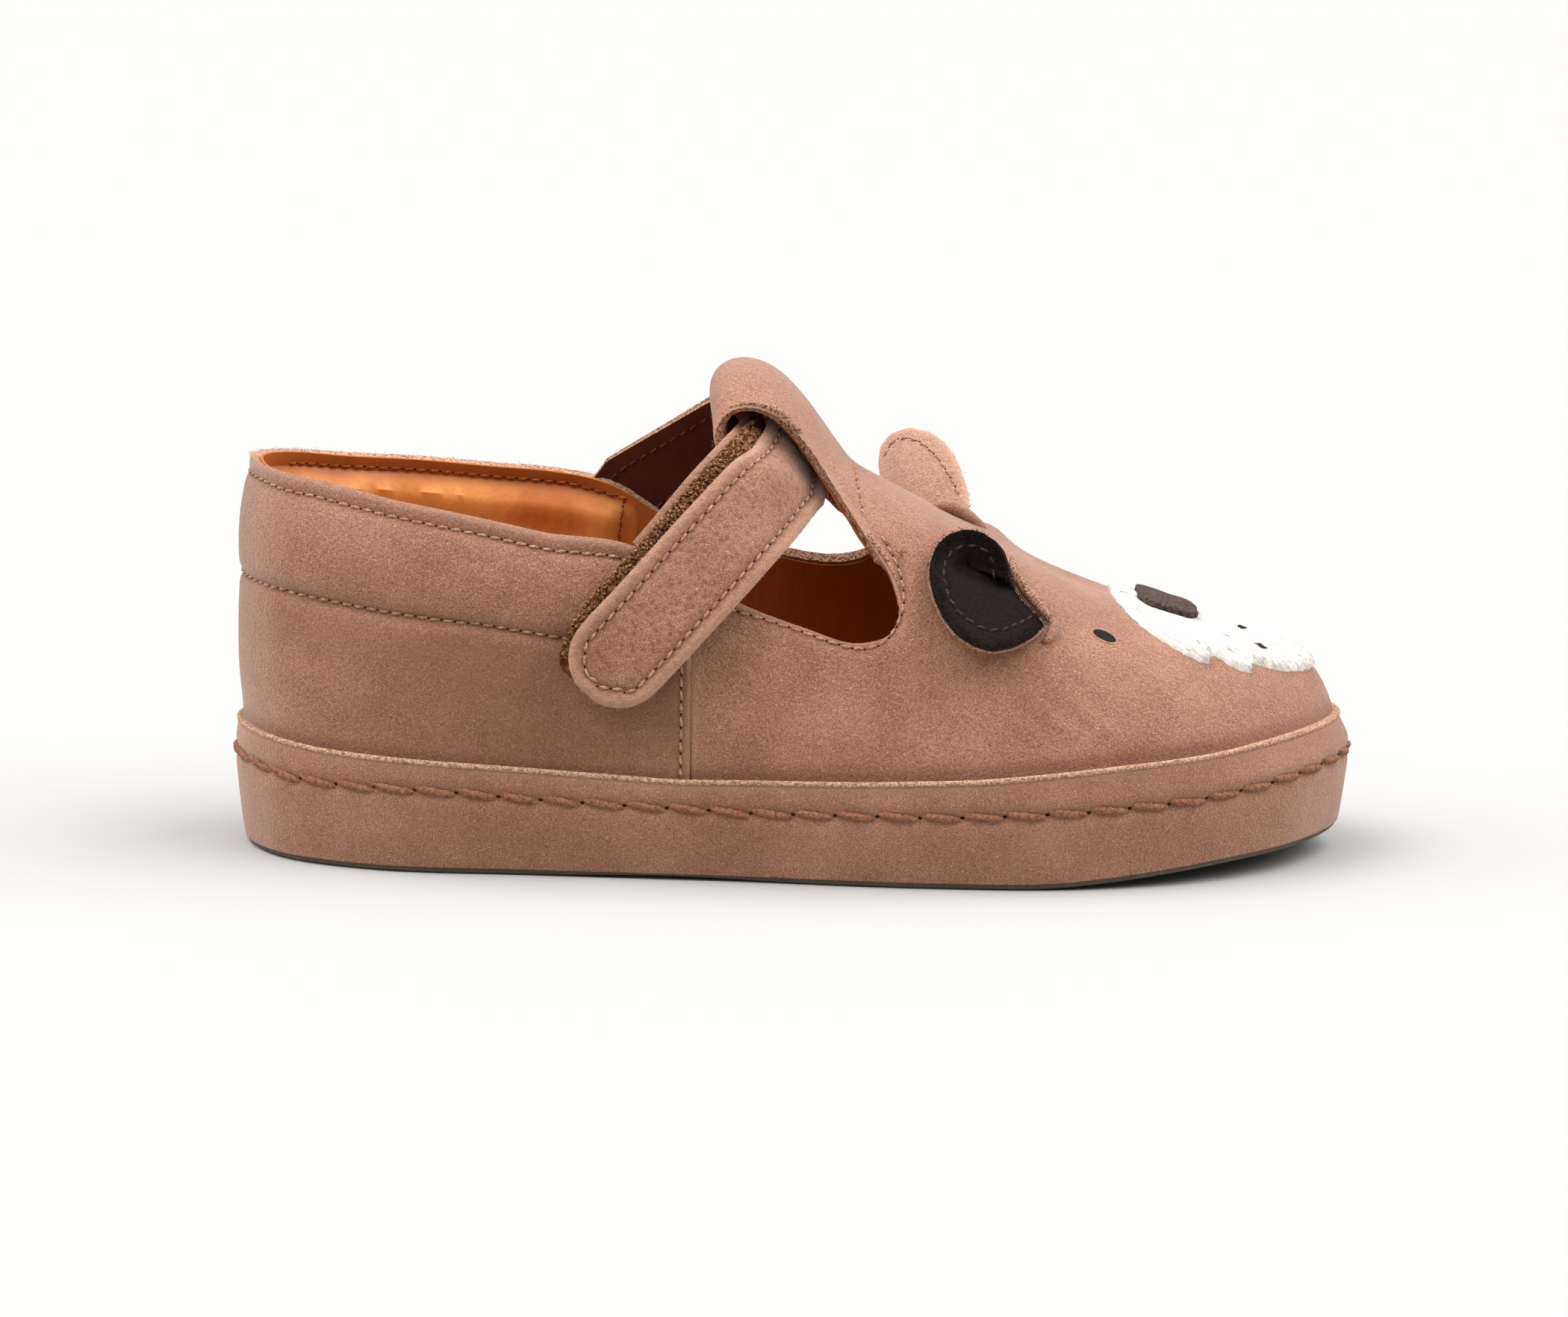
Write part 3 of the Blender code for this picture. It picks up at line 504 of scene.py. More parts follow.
def cut_at(piece, along, below):
    """Cuts the faces under a height with a plane across the shoe, so that an edge runs there."""
    choose_faces(piece, lambda place: place[2] < below)
    with editing(piece):
        bpy.ops.mesh.bisect(plane_co=((along + ZERO[0]) * MM, 0, 0), plane_no=(1, 0, 0))
        bpy.ops.mesh.select_all(action="DESELECT")


def points_of(piece):
    """A piece's points in pattern millimetres."""
    flat = np.zeros(len(piece.data.vertices) * 3, np.float32)
    piece.data.vertices.foreach_get("co", flat)
    return flat.reshape(-1, 3).astype(float) / MM - ZERO


def set_points(piece, points):
    flat = ((points + ZERO) * MM).astype(np.float32).ravel()
    piece.data.vertices.foreach_set("co", flat)
    piece.data.update()


def normals_of(piece):
    flat = np.zeros(len(piece.data.vertices) * 3, np.float32)
    piece.data.vertex_normals.foreach_get("vector", flat)
    return flat.reshape(-1, 3).astype(float)


def push(piece, amount):
    """Moves a piece's points along their normals by millimetres from a function of the points."""
    points = points_of(piece)
    set_points(piece, points + amount(points)[:, None] * normals_of(piece))


def crease_sharp(piece, angle, weight):
    """Holds a piece's corners when it is subdivided."""
    with editing(piece, "EDGE", "DESELECT"):
        bpy.ops.mesh.edges_select_sharp(sharpness=math.radians(angle))
    held = np.zeros(len(piece.data.edges), bool)
    piece.data.edges.foreach_get("select", held)
    layers = piece.data.attributes
    crease = layers.get("crease_edge") or layers.new("crease_edge", "FLOAT", "EDGE")
    crease.data.foreach_set("value", (held * weight).astype(np.float32))


def side_copy(node, name, near, levels, *materials):
    """One side of a CAD node as a smooth sheet; near is a point on that side."""
    piece = copy_node(node, name, *materials)
    keep_side(piece, near)
    subdivide(piece, levels)
    return piece


def round_copy(node, name, angle, weight, levels, *materials):
    """A whole CAD node, subdivided with its corners held."""
    piece = copy_node(node, name, *materials)
    crease_sharp(piece, angle, weight)
    subdivide(piece, levels)
    return piece


def carry(piece, slot, *nodes):
    """Rides a finished piece on the shoe, in place of its CAD nodes."""
    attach(piece, "root")
    if nodes:
        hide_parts(*nodes)
    return piece


# Laying things on the surfaces


def tree_of(*pieces):
    """The finished faces of pieces, in pattern millimetres, to cast rays on."""
    points, faces = [], []
    for piece in pieces:
        start = len(points)
        points.extend(map(tuple, points_of(piece)))
        faces.extend(tuple(start + k for k in face.vertices) for face in piece.data.polygons)
    return BVHTree.FromPolygons(points, faces)


def camera_frame():
    """The camera's place in pattern millimetres, and its turn."""
    place = np.array(camera.matrix_world.translation) / MM - ZERO
    return place, np.array(camera.matrix_world.to_3x3())


def camera_rays(pixels):
    """Where the camera is, and the ways from it through pixels of the photograph."""
    start, turn = camera_frame()
    pixels = np.asarray(pixels, float)
    right = (pixels[:, 0] - AIM_PIXEL[0]) / FOCAL
    up = (AIM_PIXEL[1] - pixels[:, 1]) / FOCAL
    local = np.stack([right, up, -np.ones(len(pixels))], axis=1)
    return start, unit(local @ turn.T)


def seen(tree, pixels):
    """Where the camera sees pixels of the photograph on a surface; one past its outline moves down to it."""
    hits = []
    for x, y in pixels:
        for drop in range(0, 40, 4):
            start, ways = camera_rays([(x, y + drop)])
            hit = tree.ray_cast(Vector(start), Vector(ways[0]))[0]
            if hit is not None:
                hits.append(np.array(hit))
                break
    return np.array(hits)


def across(tree, rows, side):
    """Points of a surface at (along, height) rows, met from one side of the shoe."""
    hits = [tree.ray_cast(Vector((x, side * 70, z)), Vector((0, -side, 0)))[0] for x, z in rows]
    return np.array([hit for hit in hits if hit is not None])


def bow(tree, height, middle, first, last, steps):
    """The part of a line round the shoe that turns about a middle; height depends on the place along."""
    hits = []
    for angle in np.radians(np.linspace(first, last, steps)):
        out = np.array([math.cos(angle), math.sin(angle), 0.0])
        z = height(middle[0] + 30 * out[0])
        for _ in range(3):
            hit = tree.ray_cast(Vector((*(np.array(middle) + 70 * out[:2]), z)), Vector(-out))[0]
            z = height(hit[0]) if hit is not None else z
        if hit is not None:
            hits.append(np.array(hit))
    return hits


def girdle(tree, height, front, steps=60):
    """A line round the heel, from the lateral side to the medial."""
    hits = list(across(tree, [(x, height(x)) for x in np.linspace(front[0], HEEL_TURN, steps)], LATERAL))
    hits += bow(tree, height, (HEEL_TURN, 0.0), -90, -270, steps)
    hits += list(across(tree, [(x, height(x)) for x in np.linspace(HEEL_TURN, front[1], steps)], MEDIAL))
    return np.array(hits)


def spaced(path, pitch, closed=False):
    """Points at an even pitch along a path, and the way the path runs there."""
    path = np.asarray(path, float)
    if closed:
        path = np.vstack([path, path[:1]])
    steps = np.linalg.norm(np.diff(path, axis=0), axis=1)
    reach = np.concatenate([[0], np.cumsum(steps)])
    count = max(2, int(round(reach[-1] / pitch)) + (0 if closed else 1))
    at = np.linspace(0, reach[-1], count + 1)[:-1] if closed else np.linspace(0, reach[-1], count)

    def place(distance):
        if closed:
            distance = distance % reach[-1]
        return np.stack([np.interp(distance, reach, path[:, k]) for k in range(3)], axis=1)

    return place(at), unit(place(at + 0.3 * pitch) - place(at - 0.3 * pitch))


def relaxed(path, rounds=4, closed=False):
    path = np.array(path, float)
    for _ in range(rounds):
        before = np.roll(path, 1, axis=0)
        after = np.roll(path, -1, axis=0)
        if not closed:
            before[0] = path[0]
            after[0] = path[0]
            before[-1] = path[-1]
            after[-1] = path[-1]
        path = 0.5 * path + 0.25 * (before + after)
    return path


def settle(tree, points):
    """The nearest points of a surface, and its normals there."""
    found = [tree.find_nearest(Vector(point))[:2] for point in points]
    return np.array([p for p, _ in found]), np.array([n for _, n in found])


def rim_loops(piece):
    """The open edges of a sheet as loops of points, each with the way into the sheet."""
    mesh = piece.data
    ends = np.zeros(len(mesh.edges) * 2, np.int32)
    mesh.edges.foreach_get("vertices", ends)
    ends = ends.reshape(-1, 2)
    used = np.zeros(len(mesh.loops), np.int32)
    mesh.loops.foreach_get("edge_index", used)
    count = np.bincount(used, minlength=len(ends))
    points = points_of(piece)
    middle = {}
    for face in mesh.polygons:
        for k in face.loop_indices:
            if count[used[k]] == 1:
                middle[used[k]] = np.array(face.center) / MM - ZERO
    links = {}
    for edge in middle:
        for a, b in (ends[edge], ends[edge][::-1]):
            links.setdefault(int(a), []).append((int(b), edge))
    loops = []
    while links:
        here = first = next(iter(links))
        line, inward = [], []
        last = None
        while True:
            way = [(b, e) for b, e in links[here] if e != last]
            if not way:
                break
            nxt, last = way[0]
            line.append(points[here])
            inward.append(middle[last] - (points[here] + points[nxt]) / 2)
            here = nxt
            if here == first:
                break
        loops.append((np.array(line), unit(np.array(inward))))
        seen_points = {tuple(np.round(p, 6)) for p in line}
        links = {k: v for k, v in links.items() if tuple(np.round(points[k], 6)) not in seen_points}
    return loops


def longest_rim(piece):
    """The longest open edge of a sheet, and the way into the sheet along it."""
    return max(rim_loops(piece), key=lambda loop: len(loop[0]))


def inset_line(piece, tree, inset, wanted=None):
    """A line on a sheet that keeps an even distance from its open edge; wanted picks part of it."""
    line, inward = longest_rim(piece)
    inward = unit(relaxed(inward, 12, closed=True))
    path, _ = settle(tree, relaxed(line + inset * inward, 6, closed=True))
    path = path[distance_to(path, line, closed=True) > 0.94 * inset]
    if wanted is None:
        return path
    keep = np.array([wanted(p) for p in path])
    if keep.all():
        return path
    start = np.flatnonzero(keep & ~np.roll(keep, 1))[0]
    path = np.roll(path, -start, axis=0)
    keep = np.roll(keep, -start)
    return path[: np.flatnonzero(~keep)[0]]


def stamp(name, shape, places, material):
    """One mesh with a copy of a shape at each place: its origin, then its three axes in millimetres."""
    corners, faces = shape
    places = np.asarray(places, float)
    points = places[:, None, 0] + np.einsum("vk,nkj->nvj", corners, places[:, 1:])
    points = points.reshape(-1, 3)
    starts = range(0, len(points), len(corners))
    every = [tuple(int(k) + start for k in face) for start in starts for face in faces]
    return new_piece(name, points, every, material)


def model_shape(shape):
    """The points and faces of a shape that was modelled once to be repeated."""
    bpy.ops.object.mode_set(mode="OBJECT")
    piece = bpy.context.object
    points = np.array([vertex.co for vertex in piece.data.vertices])
    faces = [tuple(face.vertices) for face in piece.data.polygons]
    bpy.data.objects.remove(piece)
    return shape(points), faces


def thread_shape(sides, cuts, turns, lobes, ply_depth, blunt):
    """One stitch of plied thread, 1 long along X and 1 thick: its ends dip and its plies wind round it."""
    bpy.ops.object.select_all(action="DESELECT")
    bpy.ops.mesh.primitive_cylinder_add(vertices=sides, radius=0.5, depth=1, rotation=(0, math.pi / 2, 0))
    bpy.ops.object.transform_apply()
    bpy.ops.object.mode_set(mode="EDIT")
    for k in range(1, cuts):
        bpy.ops.mesh.select_all(action="SELECT")
        bpy.ops.mesh.bisect(plane_co=(k / cuts - 0.5, 0, 0), plane_no=(1, 0, 0))

    def wind(points):
        along = points[:, 0]
        round_ = np.arctan2(points[:, 2], points[:, 1])
        swell = np.clip(1 - np.abs(2 * along) ** blunt, 0.06, 1) ** 0.6
        ply = 1 + ply_depth * np.cos(lobes * (round_ - turns * 2 * math.pi * along))
        out = 0.5 * swell * ply
        dip = -0.75 * np.abs(2 * along) ** 3.5
        return np.stack([along, out * np.cos(round_), out * np.sin(round_) + dip], axis=1)

    return model_shape(wind)


def bead_shape(detail):
    """A small round bead, to be flattened where it is stamped."""
    bpy.ops.object.select_all(action="DESELECT")
    bpy.ops.mesh.primitive_ico_sphere_add(subdivisions=detail, radius=0.5)
    bpy.ops.object.mode_set(mode="EDIT")
    return model_shape(lambda points: points)


def hair_shape():
    """One hair, 1 long along X and 1 thick at its root, that bends down to a point."""
    bpy.ops.object.select_all(action="DESELECT")
    bpy.ops.mesh.primitive_cone_add(vertices=3, radius1=0.5, radius2=0, depth=1, rotation=(0, math.pi / 2, 0))
    bpy.ops.object.transform_apply()
    bpy.ops.object.mode_set(mode="EDIT")
    bpy.ops.mesh.select_all(action="SELECT")
    bpy.ops.mesh.bisect(plane_co=(0.05, 0, 0), plane_no=(1, 0, 0))

    def bend(points):
        along = points[:, 0] + 0.5
        full = np.where((along > 0.4) & (along < 0.7), 1.6, 1.0)
        return np.stack([along, points[:, 1] * full, points[:, 2] * full], axis=1)

    return model_shape(bend)


def sew(name, tree, path, pitch=2.0, long=1.75, thick=0.44, lean=7, closed=False, thread=None, hole=0.32):
    """A row of stitches along a path, with dark spots of painted shade where the thread goes down into its
    needle holes.
    """
    spots, ways = spaced(path, pitch, closed)
    spots, normals = settle(tree, spots)
    ways = unit(ways - (ways * normals).sum(axis=1, keepdims=True) * normals)
    sides = np.cross(normals, ways)
    tilt = math.radians(lean)
    run = ways * math.cos(tilt) + sides * math.sin(tilt)
    over = np.cross(normals, run)
    lengths = long * RANDOM.uniform(0.93, 1.05, (len(spots), 1))
    places = np.stack([spots + 0.18 * thick * normals, run * lengths, over * thick, normals * thick], axis=1)
    row = stamp(name, STITCH if thick < 1 else HEAVY_STITCH, places, thread or THREAD)
    holes, ways = spaced(path, pitch, closed)
    shift = 0.5 * pitch * ways
    holes, normals = settle(tree, (holes + shift) if closed else (holes + shift)[:-1])
    ways = ways if closed else ways[:-1]
    sides = np.cross(normals, ways)
    # Painted shade: flat dark spots lie on the surface where the needle holes are
    flat = np.stack([holes + 0.02 * normals, ways * hole * 1.35, sides * hole, normals * 0.16], axis=1)
    pits = stamp(name + "_holes", KNOB if thick < 1 else BEAD, flat, NEEDLE_HOLE_SHADE)
    return row, pits


def bristle(name, roots, ways, normals, long, thick, material):
    """Hairs that lie along their ways; long and thick are millimetres for each hair."""
    sides = unit(np.cross(normals, ways))
    tops = np.cross(ways, sides)
    long = np.asarray(long)[:, None]
    thick = np.asarray(thick)[:, None]
    return stamp(name, HAIR, np.stack([roots, ways * long, sides * thick, tops * thick], axis=1), material)


def fuzz(name, tree, edge, count, long, thick, material, spread=0.2):
    """Loose fibres on points of a raw edge, standing off it at all angles; they root within the spread."""
    roots = edge[RANDOM.integers(0, len(edge), count)]
    roots = roots + RANDOM.normal(0, spread, roots.shape)
    _, normals = settle(tree, roots)
    ways = unit(RANDOM.normal(0, 0.8, roots.shape) + 0.5 * normals)
    lengths = long * RANDOM.uniform(0.4, 1.2, len(roots))
    return bristle(name, roots, ways, normals, lengths, np.full(len(roots), thick), material)


def dot_tree(dots):
    tree = KDTree(len(dots))
    for k, dot in enumerate(dots):
        tree.insert(dot, k)
    tree.balance()
    return tree


def distance_to(points, path, closed=False):
    """How far points lie from a path, in millimetres."""
    tree = dot_tree(spaced(path, 0.35, closed)[0])
    return np.array([tree.find(point)[2] for point in points])


def paint(piece, name, values):
    """Keeps a number for each point, which a material reads."""
    mesh = piece.data
    layer = mesh.attributes.get(name) or mesh.attributes.new(name, "FLOAT", "POINT")
    old = np.zeros(len(mesh.vertices), np.float32)
    layer.data.foreach_get("value", old)
    layer.data.foreach_set("value", np.maximum(old, values).astype(np.float32))


def draw_in(piece, path, depth, width, closed=False):
    """Pulls a sheet in along a row of stitches, and paints shade into the groove there."""
    gap = distance_to(points_of(piece), path, closed)
    push(piece, lambda points: -depth * bell(gap, width))
    # Painted shade: the colour goes darker along the stitch groove
    paint(piece, "painted_shade_and_facing", 0.8 * bell(gap, 0.45))


def soften_rim(piece, round_over, pale):
    """Rounds a sheet's cut edge over and rubs it paler."""
    points = points_of(piece)
    gap = np.full(len(points), 99.0)
    for line, _ in rim_loops(piece):
        if len(line) > SHORT_RIM:
            gap = np.minimum(gap, distance_to(points, line, closed=True))
    push(piece, lambda points: -round_over * np.clip(1 - gap / (1.6 * round_over + 0.2), 0, 1) ** 2)
    paint(piece, "pale_edge", bell(gap, pale))


# Upper


def edge_height(points):
    """The collar's edge above each point, on the point's side of the shoe."""
    lateral, medial = (read(EDGE_COLUMNS, EDGE, side, points[:, 0]) for side in ("lateral", "medial"))
    return np.where(points[:, 1] < 0, lateral, medial)


def seam_height(along):
    return read(SEAM_COLUMNS, COLLAR_SEAM, "height", along)


def sagged(points):
    """The lateral collar hangs a little lower between the heel and the strap."""
    x, y, z = points.T
    climb = np.clip((z - seam_height(x)) / 15, 0, 1) * smooth(-y / 6)
    return np.column_stack([x, y, z - climb * read(SAG_COLUMNS, SAG, "drop", x)])


def collar_puff(points):
    """The padded band between the collar's seam and its top stitches."""
    x, _, z = points.T
    seam = seam_height(x)
    top = edge_height(points) - 2.6
    climb = (z - seam) / np.maximum(top - seam, 1)
    band = np.sin(math.pi * np.clip(climb, 0, 1)) ** 0.7
    back = smooth((-20 - x) / 8) * (1 - 0.45 * smooth((-74 - x) / 10))
    below = bell(z - seam + 5.5, 4.5)
    groove = bell(z - seam, 1.0)
    ripple = np.sin(1.1 * x + 0.9 * z) * np.sin(0.43 * x - 0.5 * z)
    slack = bell(x + 46, 16) * bell(climb - 0.8, 0.3)
    gather = bell(x + 45, 5) * bell(z - seam + 2.6, 1.8)
    folds = np.sin(1.9 * x + 2.3 * z)
    return back * (1.0 * band + 0.2 * below - 0.5 * groove + 0.14 * slack * ripple + 0.12 * gather * folds)


def quarter_lap(points):
    """The quarter's front edge lies over the vamp."""
    return 0.5 * smooth(1 - (SIDE_SEAM - points[:, 0]) / 6.0)


def vamp_creases(points):
    """Shallow flex creases where the toes bend, on the seen side and the far one, a hollow behind the face,
    and the rise in front of the far ear."""
    x, y, z = points.T
    place = bell(x - 41, 9) * bell(z - 27, 6) * smooth((np.abs(y) - 21) / 5 + 0.6)
    wave = np.sin(1.5 * (x * 0.72 + z * 0.75) + 0.6 * np.sin(0.5 * z))
    crown = bell(y - FACE_AXIS, 9)
    welt = 1.5 * bell(x - 30.0, 3.4) * bell(y - 9.0, 6.0)
    return 0.12 * place * wave - 0.55 * crown * bell(x - 38, 8) + welt


def make_upper():
    """The outer sheets: the vamp with the T-bar, the quarters, and the lateral quarter's tab."""
    outer = copy_node("upper", "outer_sheet", NUBUCK, RAW_EDGE)
    keep_side(outer, (-40, -27, 30))
    cut_at(outer, SIDE_SEAM, 43)

    # The bar above the instep and all that lies in front of it, the tab that runs up past the lateral edge,
    # and the vamp with its bar
    def is_tbar(p):
        return p[0] > -16 and p[2] > 54 and abs(p[1]) < 14.2 or p[0] > 3

    def is_tab(p):
        edge = read(EDGE_COLUMNS, EDGE, "lateral", p[0]) + read(SAG_COLUMNS, SAG, "drop", p[0])
        return not is_tbar(p) and p[1] < -8 and -30 < p[0] < 6 and p[2] > edge + 0.2

    def is_vamp(p):
        return is_tbar(p) or p[0] > SIDE_SEAM and not is_tab(p)

    sheets = {}
    for name, wanted in (
        ("vamp", is_vamp),
        ("quarters", lambda p: not is_vamp(p) and not is_tab(p)),
        ("quarter_tab", is_tab),
    ):
        sheet = copy_of(outer, name, NUBUCK, RAW_EDGE)
        keep_faces(sheet, lambda p: wanted(p) and p[2] > SHEET_FOOT)
        subdivide(sheet, 3)
        sheets[name] = sheet
    bpy.data.objects.remove(outer)
    set_points(sheets["quarters"], sagged(points_of(sheets["quarters"])))
    push(sheets["quarters"], lambda p: collar_puff(p) + quarter_lap(p))
    push(sheets["vamp"], vamp_creases)
    return sheets


def close_sheet(piece, thick):
    """Gives a sheet its wall, with the cut edge in the second material."""
    apply_modifier(
        piece,
        "SOLIDIFY",
        thickness=thick * MM,
        offset=-1.0,
        use_even_offset=False,
        use_quality_normals=True,
        material_offset_rim=1,
    )
    select_only(piece)
    bpy.ops.object.shade_smooth_by_angle(angle=math.radians(40))


def make_lining():
    """Orange-tan lining on the inside of the wall, padded below the collar's stitch line."""
    lining = side_copy("upper", "collar_lining", (-40, -25, 30), 2, LINING, LINING, SHADED_VAMP_LINING)
    set_points(lining, sagged(points_of(lining)))

    def pad(points):
        x, _, z = points.T
        drop = edge_height(points) - z
        back = smooth((-25.5 - 0.12 * drop - x) / 2.5)
        roll = smooth((drop - 2.9) / 2.6) * smooth((26 - drop) / 12)
        fold = np.sin(0.75 * x + 0.35 * z) * np.sin(0.31 * x + 1.2)
        pinch = bell(x + 66.8, 1.7) + 0.8 * bell(x + 61.4 + 0.1 * drop, 1.6)
        pinch = pinch + 0.8 * bell(x + 31.0 - 0.4 * drop, 1.6)
        soft = 2.6 + 0.12 * fold - 0.6 * pinch * bell(drop - 6, 4.5)
        return back * (roll * soft - 0.35 * bell(drop - 2.7, 0.7))

    push(lining, pad)
    draw_back(lining, lambda points: 0.15 + 0.95 * smooth((points[:, 0] - SHADED_LINING_START) / 5))
    # Darker along the facing strip under the collar's edge, partly its own leather and partly painted shade,
    # and painted shade past the pad's end
    points = points_of(lining)
    drop = edge_height(points) - points[:, 2]
    strip = 0.6 * smooth((3.0 - drop) / 0.6) * smooth((-21 - points[:, 0]) / 2)
    paint(lining, "painted_shade_and_facing", np.maximum(strip, 0.7 * smooth((points[:, 0] + 26.0) / 1.5)))
    # Faces forward of that place take the darker vamp lining, its darkness painted shade
    for face in lining.data.polygons:
        face.material_index = 2 if face.center[0] / MM - ZERO[0] > SHADED_LINING_START else 0
    return lining


def draw_back(piece, inset):
    """Draws a sheet's open edge in along the sheet, so that the layer over it stands past it."""
    points = points_of(piece)
    lines = [loop for loop in rim_loops(piece) if len(loop[0]) > SHORT_RIM]
    edge = np.vstack([line for line, _ in lines])
    inward = np.vstack([way for _, way in lines])
    tree = dot_tree(edge)
    found = [tree.find(point)[1:] for point in points]
    gap = np.array([distance for _, distance in found])
    way = inward[[k for k, _ in found]]
    set_points(piece, points + way * (inset(points) * np.clip(1 - gap / 2.0, 0, 1))[:, None])


# Strap and its tapes


def make_strap():
    """The strap's outer leather and its brown lining."""
    outer = side_copy("strap", "strap_leather", (-22, -31, 40), 3, NUBUCK_PEBBLED, RAW_EDGE)
    inner = side_copy("strap", "strap_lining", (-20, 8, 52), 2, STRAP_LINING, RAW_EDGE)
    guide = points_of(outer)
    fit_strap(outer, guide)
    fit_strap(inner, guide)
    return outer, inner


def pixels_of(points):
    """Where points show in the photograph, and how far they are from the camera."""
    start, turn = camera_frame()
    local = (points - start) @ turn
    depth = -local[:, 2]
    right, down = FOCAL * local[:, 0] / depth, -FOCAL * local[:, 1] / depth
    return np.stack([AIM_PIXEL[0] + right, AIM_PIXEL[1] + down], axis=1), depth


def at_pixels(flat, depth):
    """The points at a depth from the camera behind pixels of the photograph."""
    start, ways = camera_rays(flat)
    return start + ways * (depth / -(ways @ camera_frame()[1][:, 2]))[:, None]


def outline_of(flat, along, at, pick):
    """The outermost reading of a band of points at places along it, evened out."""
    found = []
    for place in at:
        near = np.abs(along - place) < 12
        found.append(pick(flat[near]) if near.any() else np.nan)
    found = np.array(found)
    good = ~np.isnan(found)
    found = np.interp(at, at[good], found[good])
    return relaxed(found, 3)


def fit_strap(piece, guide):
    """Keeps the strap straight and at its full width up to the loop, where it goes under the T-bar, and makes
    the upper edge of its far run straight up to the T-bar's end; guide holds its outer leather's points."""

    def band(points):
        flat, depth = pixels_of(points)
        away = flat - np.array(STRAP_LINE[0])
        return flat, depth, away @ STRAP_RUN, away @ STRAP_OVER

    _, _, along, aside = band(guide)
    near = guide[:, 1] < -7
    at = np.arange(60.0, 400.0, 15.0)
    low = outline_of(aside[near], along[near], at, np.min)
    high = outline_of(aside[near], along[near], at, np.max)

    def straight(points):
        flat, depth, along, aside = band(points)
        left, right = np.interp(along, at, low), np.interp(along, at, high)
        wanted = STRAP_BAND[0] + (aside - left) / (right - left) * (STRAP_BAND[1] - STRAP_BAND[0])
        blend = smooth((-2 - points[:, 1]) / 4)
        tuck = 4.6 * smooth((along - 225) / 120) * smooth((wanted - 25) / 80) * blend
        shift = blend * np.clip(wanted - aside, -40, 40)
        return at_pixels(flat + shift[:, None] * STRAP_OVER, depth + tuck)

    far = guide[:, 1] > 11
    flat, _ = pixels_of(guide[far])
    (x0, y0), (x1, y1) = FAR_STRAP_EDGE
    steps = np.arange(x0, x1 + 12, 8.0)
    top = outline_of(flat[:, 1], flat[:, 0], steps, np.min)
    points = points_of(piece)
    flat, depth = pixels_of(straight(points))
    line = y0 + (flat[:, 0] - x0) * (y1 - y0) / (x1 - x0)
    beyond = smooth((points[:, 1] - 5) / 5)
    blend = beyond * smooth((flat[:, 0] - x0 + 15) / 30)
    flat[:, 1] += blend * (line - np.interp(flat[:, 0], steps, top))
    flat[:, 1] += beyond * 1.3 * np.clip(x0 + 14 - flat[:, 0], 0, 40)
    set_points(piece, at_pixels(flat, depth))


def flip(piece):
    with editing(piece, action="SELECT"):
        bpy.ops.mesh.flip_normals()


def ribbon(name, left, width, depth, *materials):
    """A flat strip whose left edge runs along pixels of the photograph, at a depth from the camera there."""
    rows = [at_pixels(left + STRAP_OVER * width * k / 6, depth + 0.1 * k) for k in range(7)]
    count = len(left)
    faces = [
        (k * count + i, k * count + i + 1, (k + 1) * count + i + 1, (k + 1) * count + i)
        for k in range(6)
        for i in range(count - 1)
    ]
    piece = new_piece(name, np.concatenate(rows), faces, *materials)
    if piece.data.polygons[0].normal.y > 0:
        flip(piece)
    return piece


def make_tape(strap_tree):
    """The loop tape that shows past the strap's upper edge, on the leather tab that carries it."""
    left = relaxed(spaced(level(TAPE_EDGE), 5.0)[0], 3)[:, :2]
    under = seen(strap_tree, left + STRAP_OVER * 45)
    depth = relaxed(pixels_of(under)[1], 6) + 1.5
    tape = ribbon("loop_tape_edge", left, 50, depth, TAPE, TAPE)
    shown = left[:, 1] < 735
    tab = ribbon("tab_edge", (left - STRAP_OVER * 9)[shown], 50, depth[shown] + 1.2, NUBUCK, RAW_EDGE)
    return tape, tab


def make_pile(tape_edge):
    """The tape's pile: knobs of loops on the part that the strap leaves bare."""
    roots, normals = scattered(tape_edge, 4000)
    bare = (pixels_of(roots)[0] - np.array(STRAP_LINE[0])) @ STRAP_OVER < -10
    roots, normals = roots[bare], normals[bare]
    turns = unit(RANDOM.normal(0, 1, (len(roots), 3, 3)))
    sizes = RANDOM.uniform(0.32, 0.62, (len(roots), 1, 1)) * np.array([1.2, 0.9, 0.9])[None, :, None]
    lifts = RANDOM.uniform(0.0, 0.35, (len(roots), 1)) * normals
    places = np.concatenate([(roots + lifts)[:, None], turns * sizes], axis=1)
    return stamp("loop_tape_pile", KNOB, places, PILE)


# Sole


def rim_height(along):
    return read(RIM_COLUMNS, RIM, "height", along)


def hug(points):
    """How the top edge of the wrap leans in against the upper, most of all at the toe and the heel."""
    x, _, z = points.T
    middle = np.column_stack([np.clip(x, HEEL_TURN, TOE_TURN), np.where(x > 0, 2.0, 0.0)])
    out = unit(points[:, :2] - middle)
    climb = smooth((z - rim_height(x) + 5.5) / 5.5)
    lean = 0.3 + 1.7 * smooth((x - 58) / 20) + 0.3 * smooth((-68 - x) / 12)
    return points - np.column_stack([out * (climb * lean)[:, None], np.zeros(len(points))])


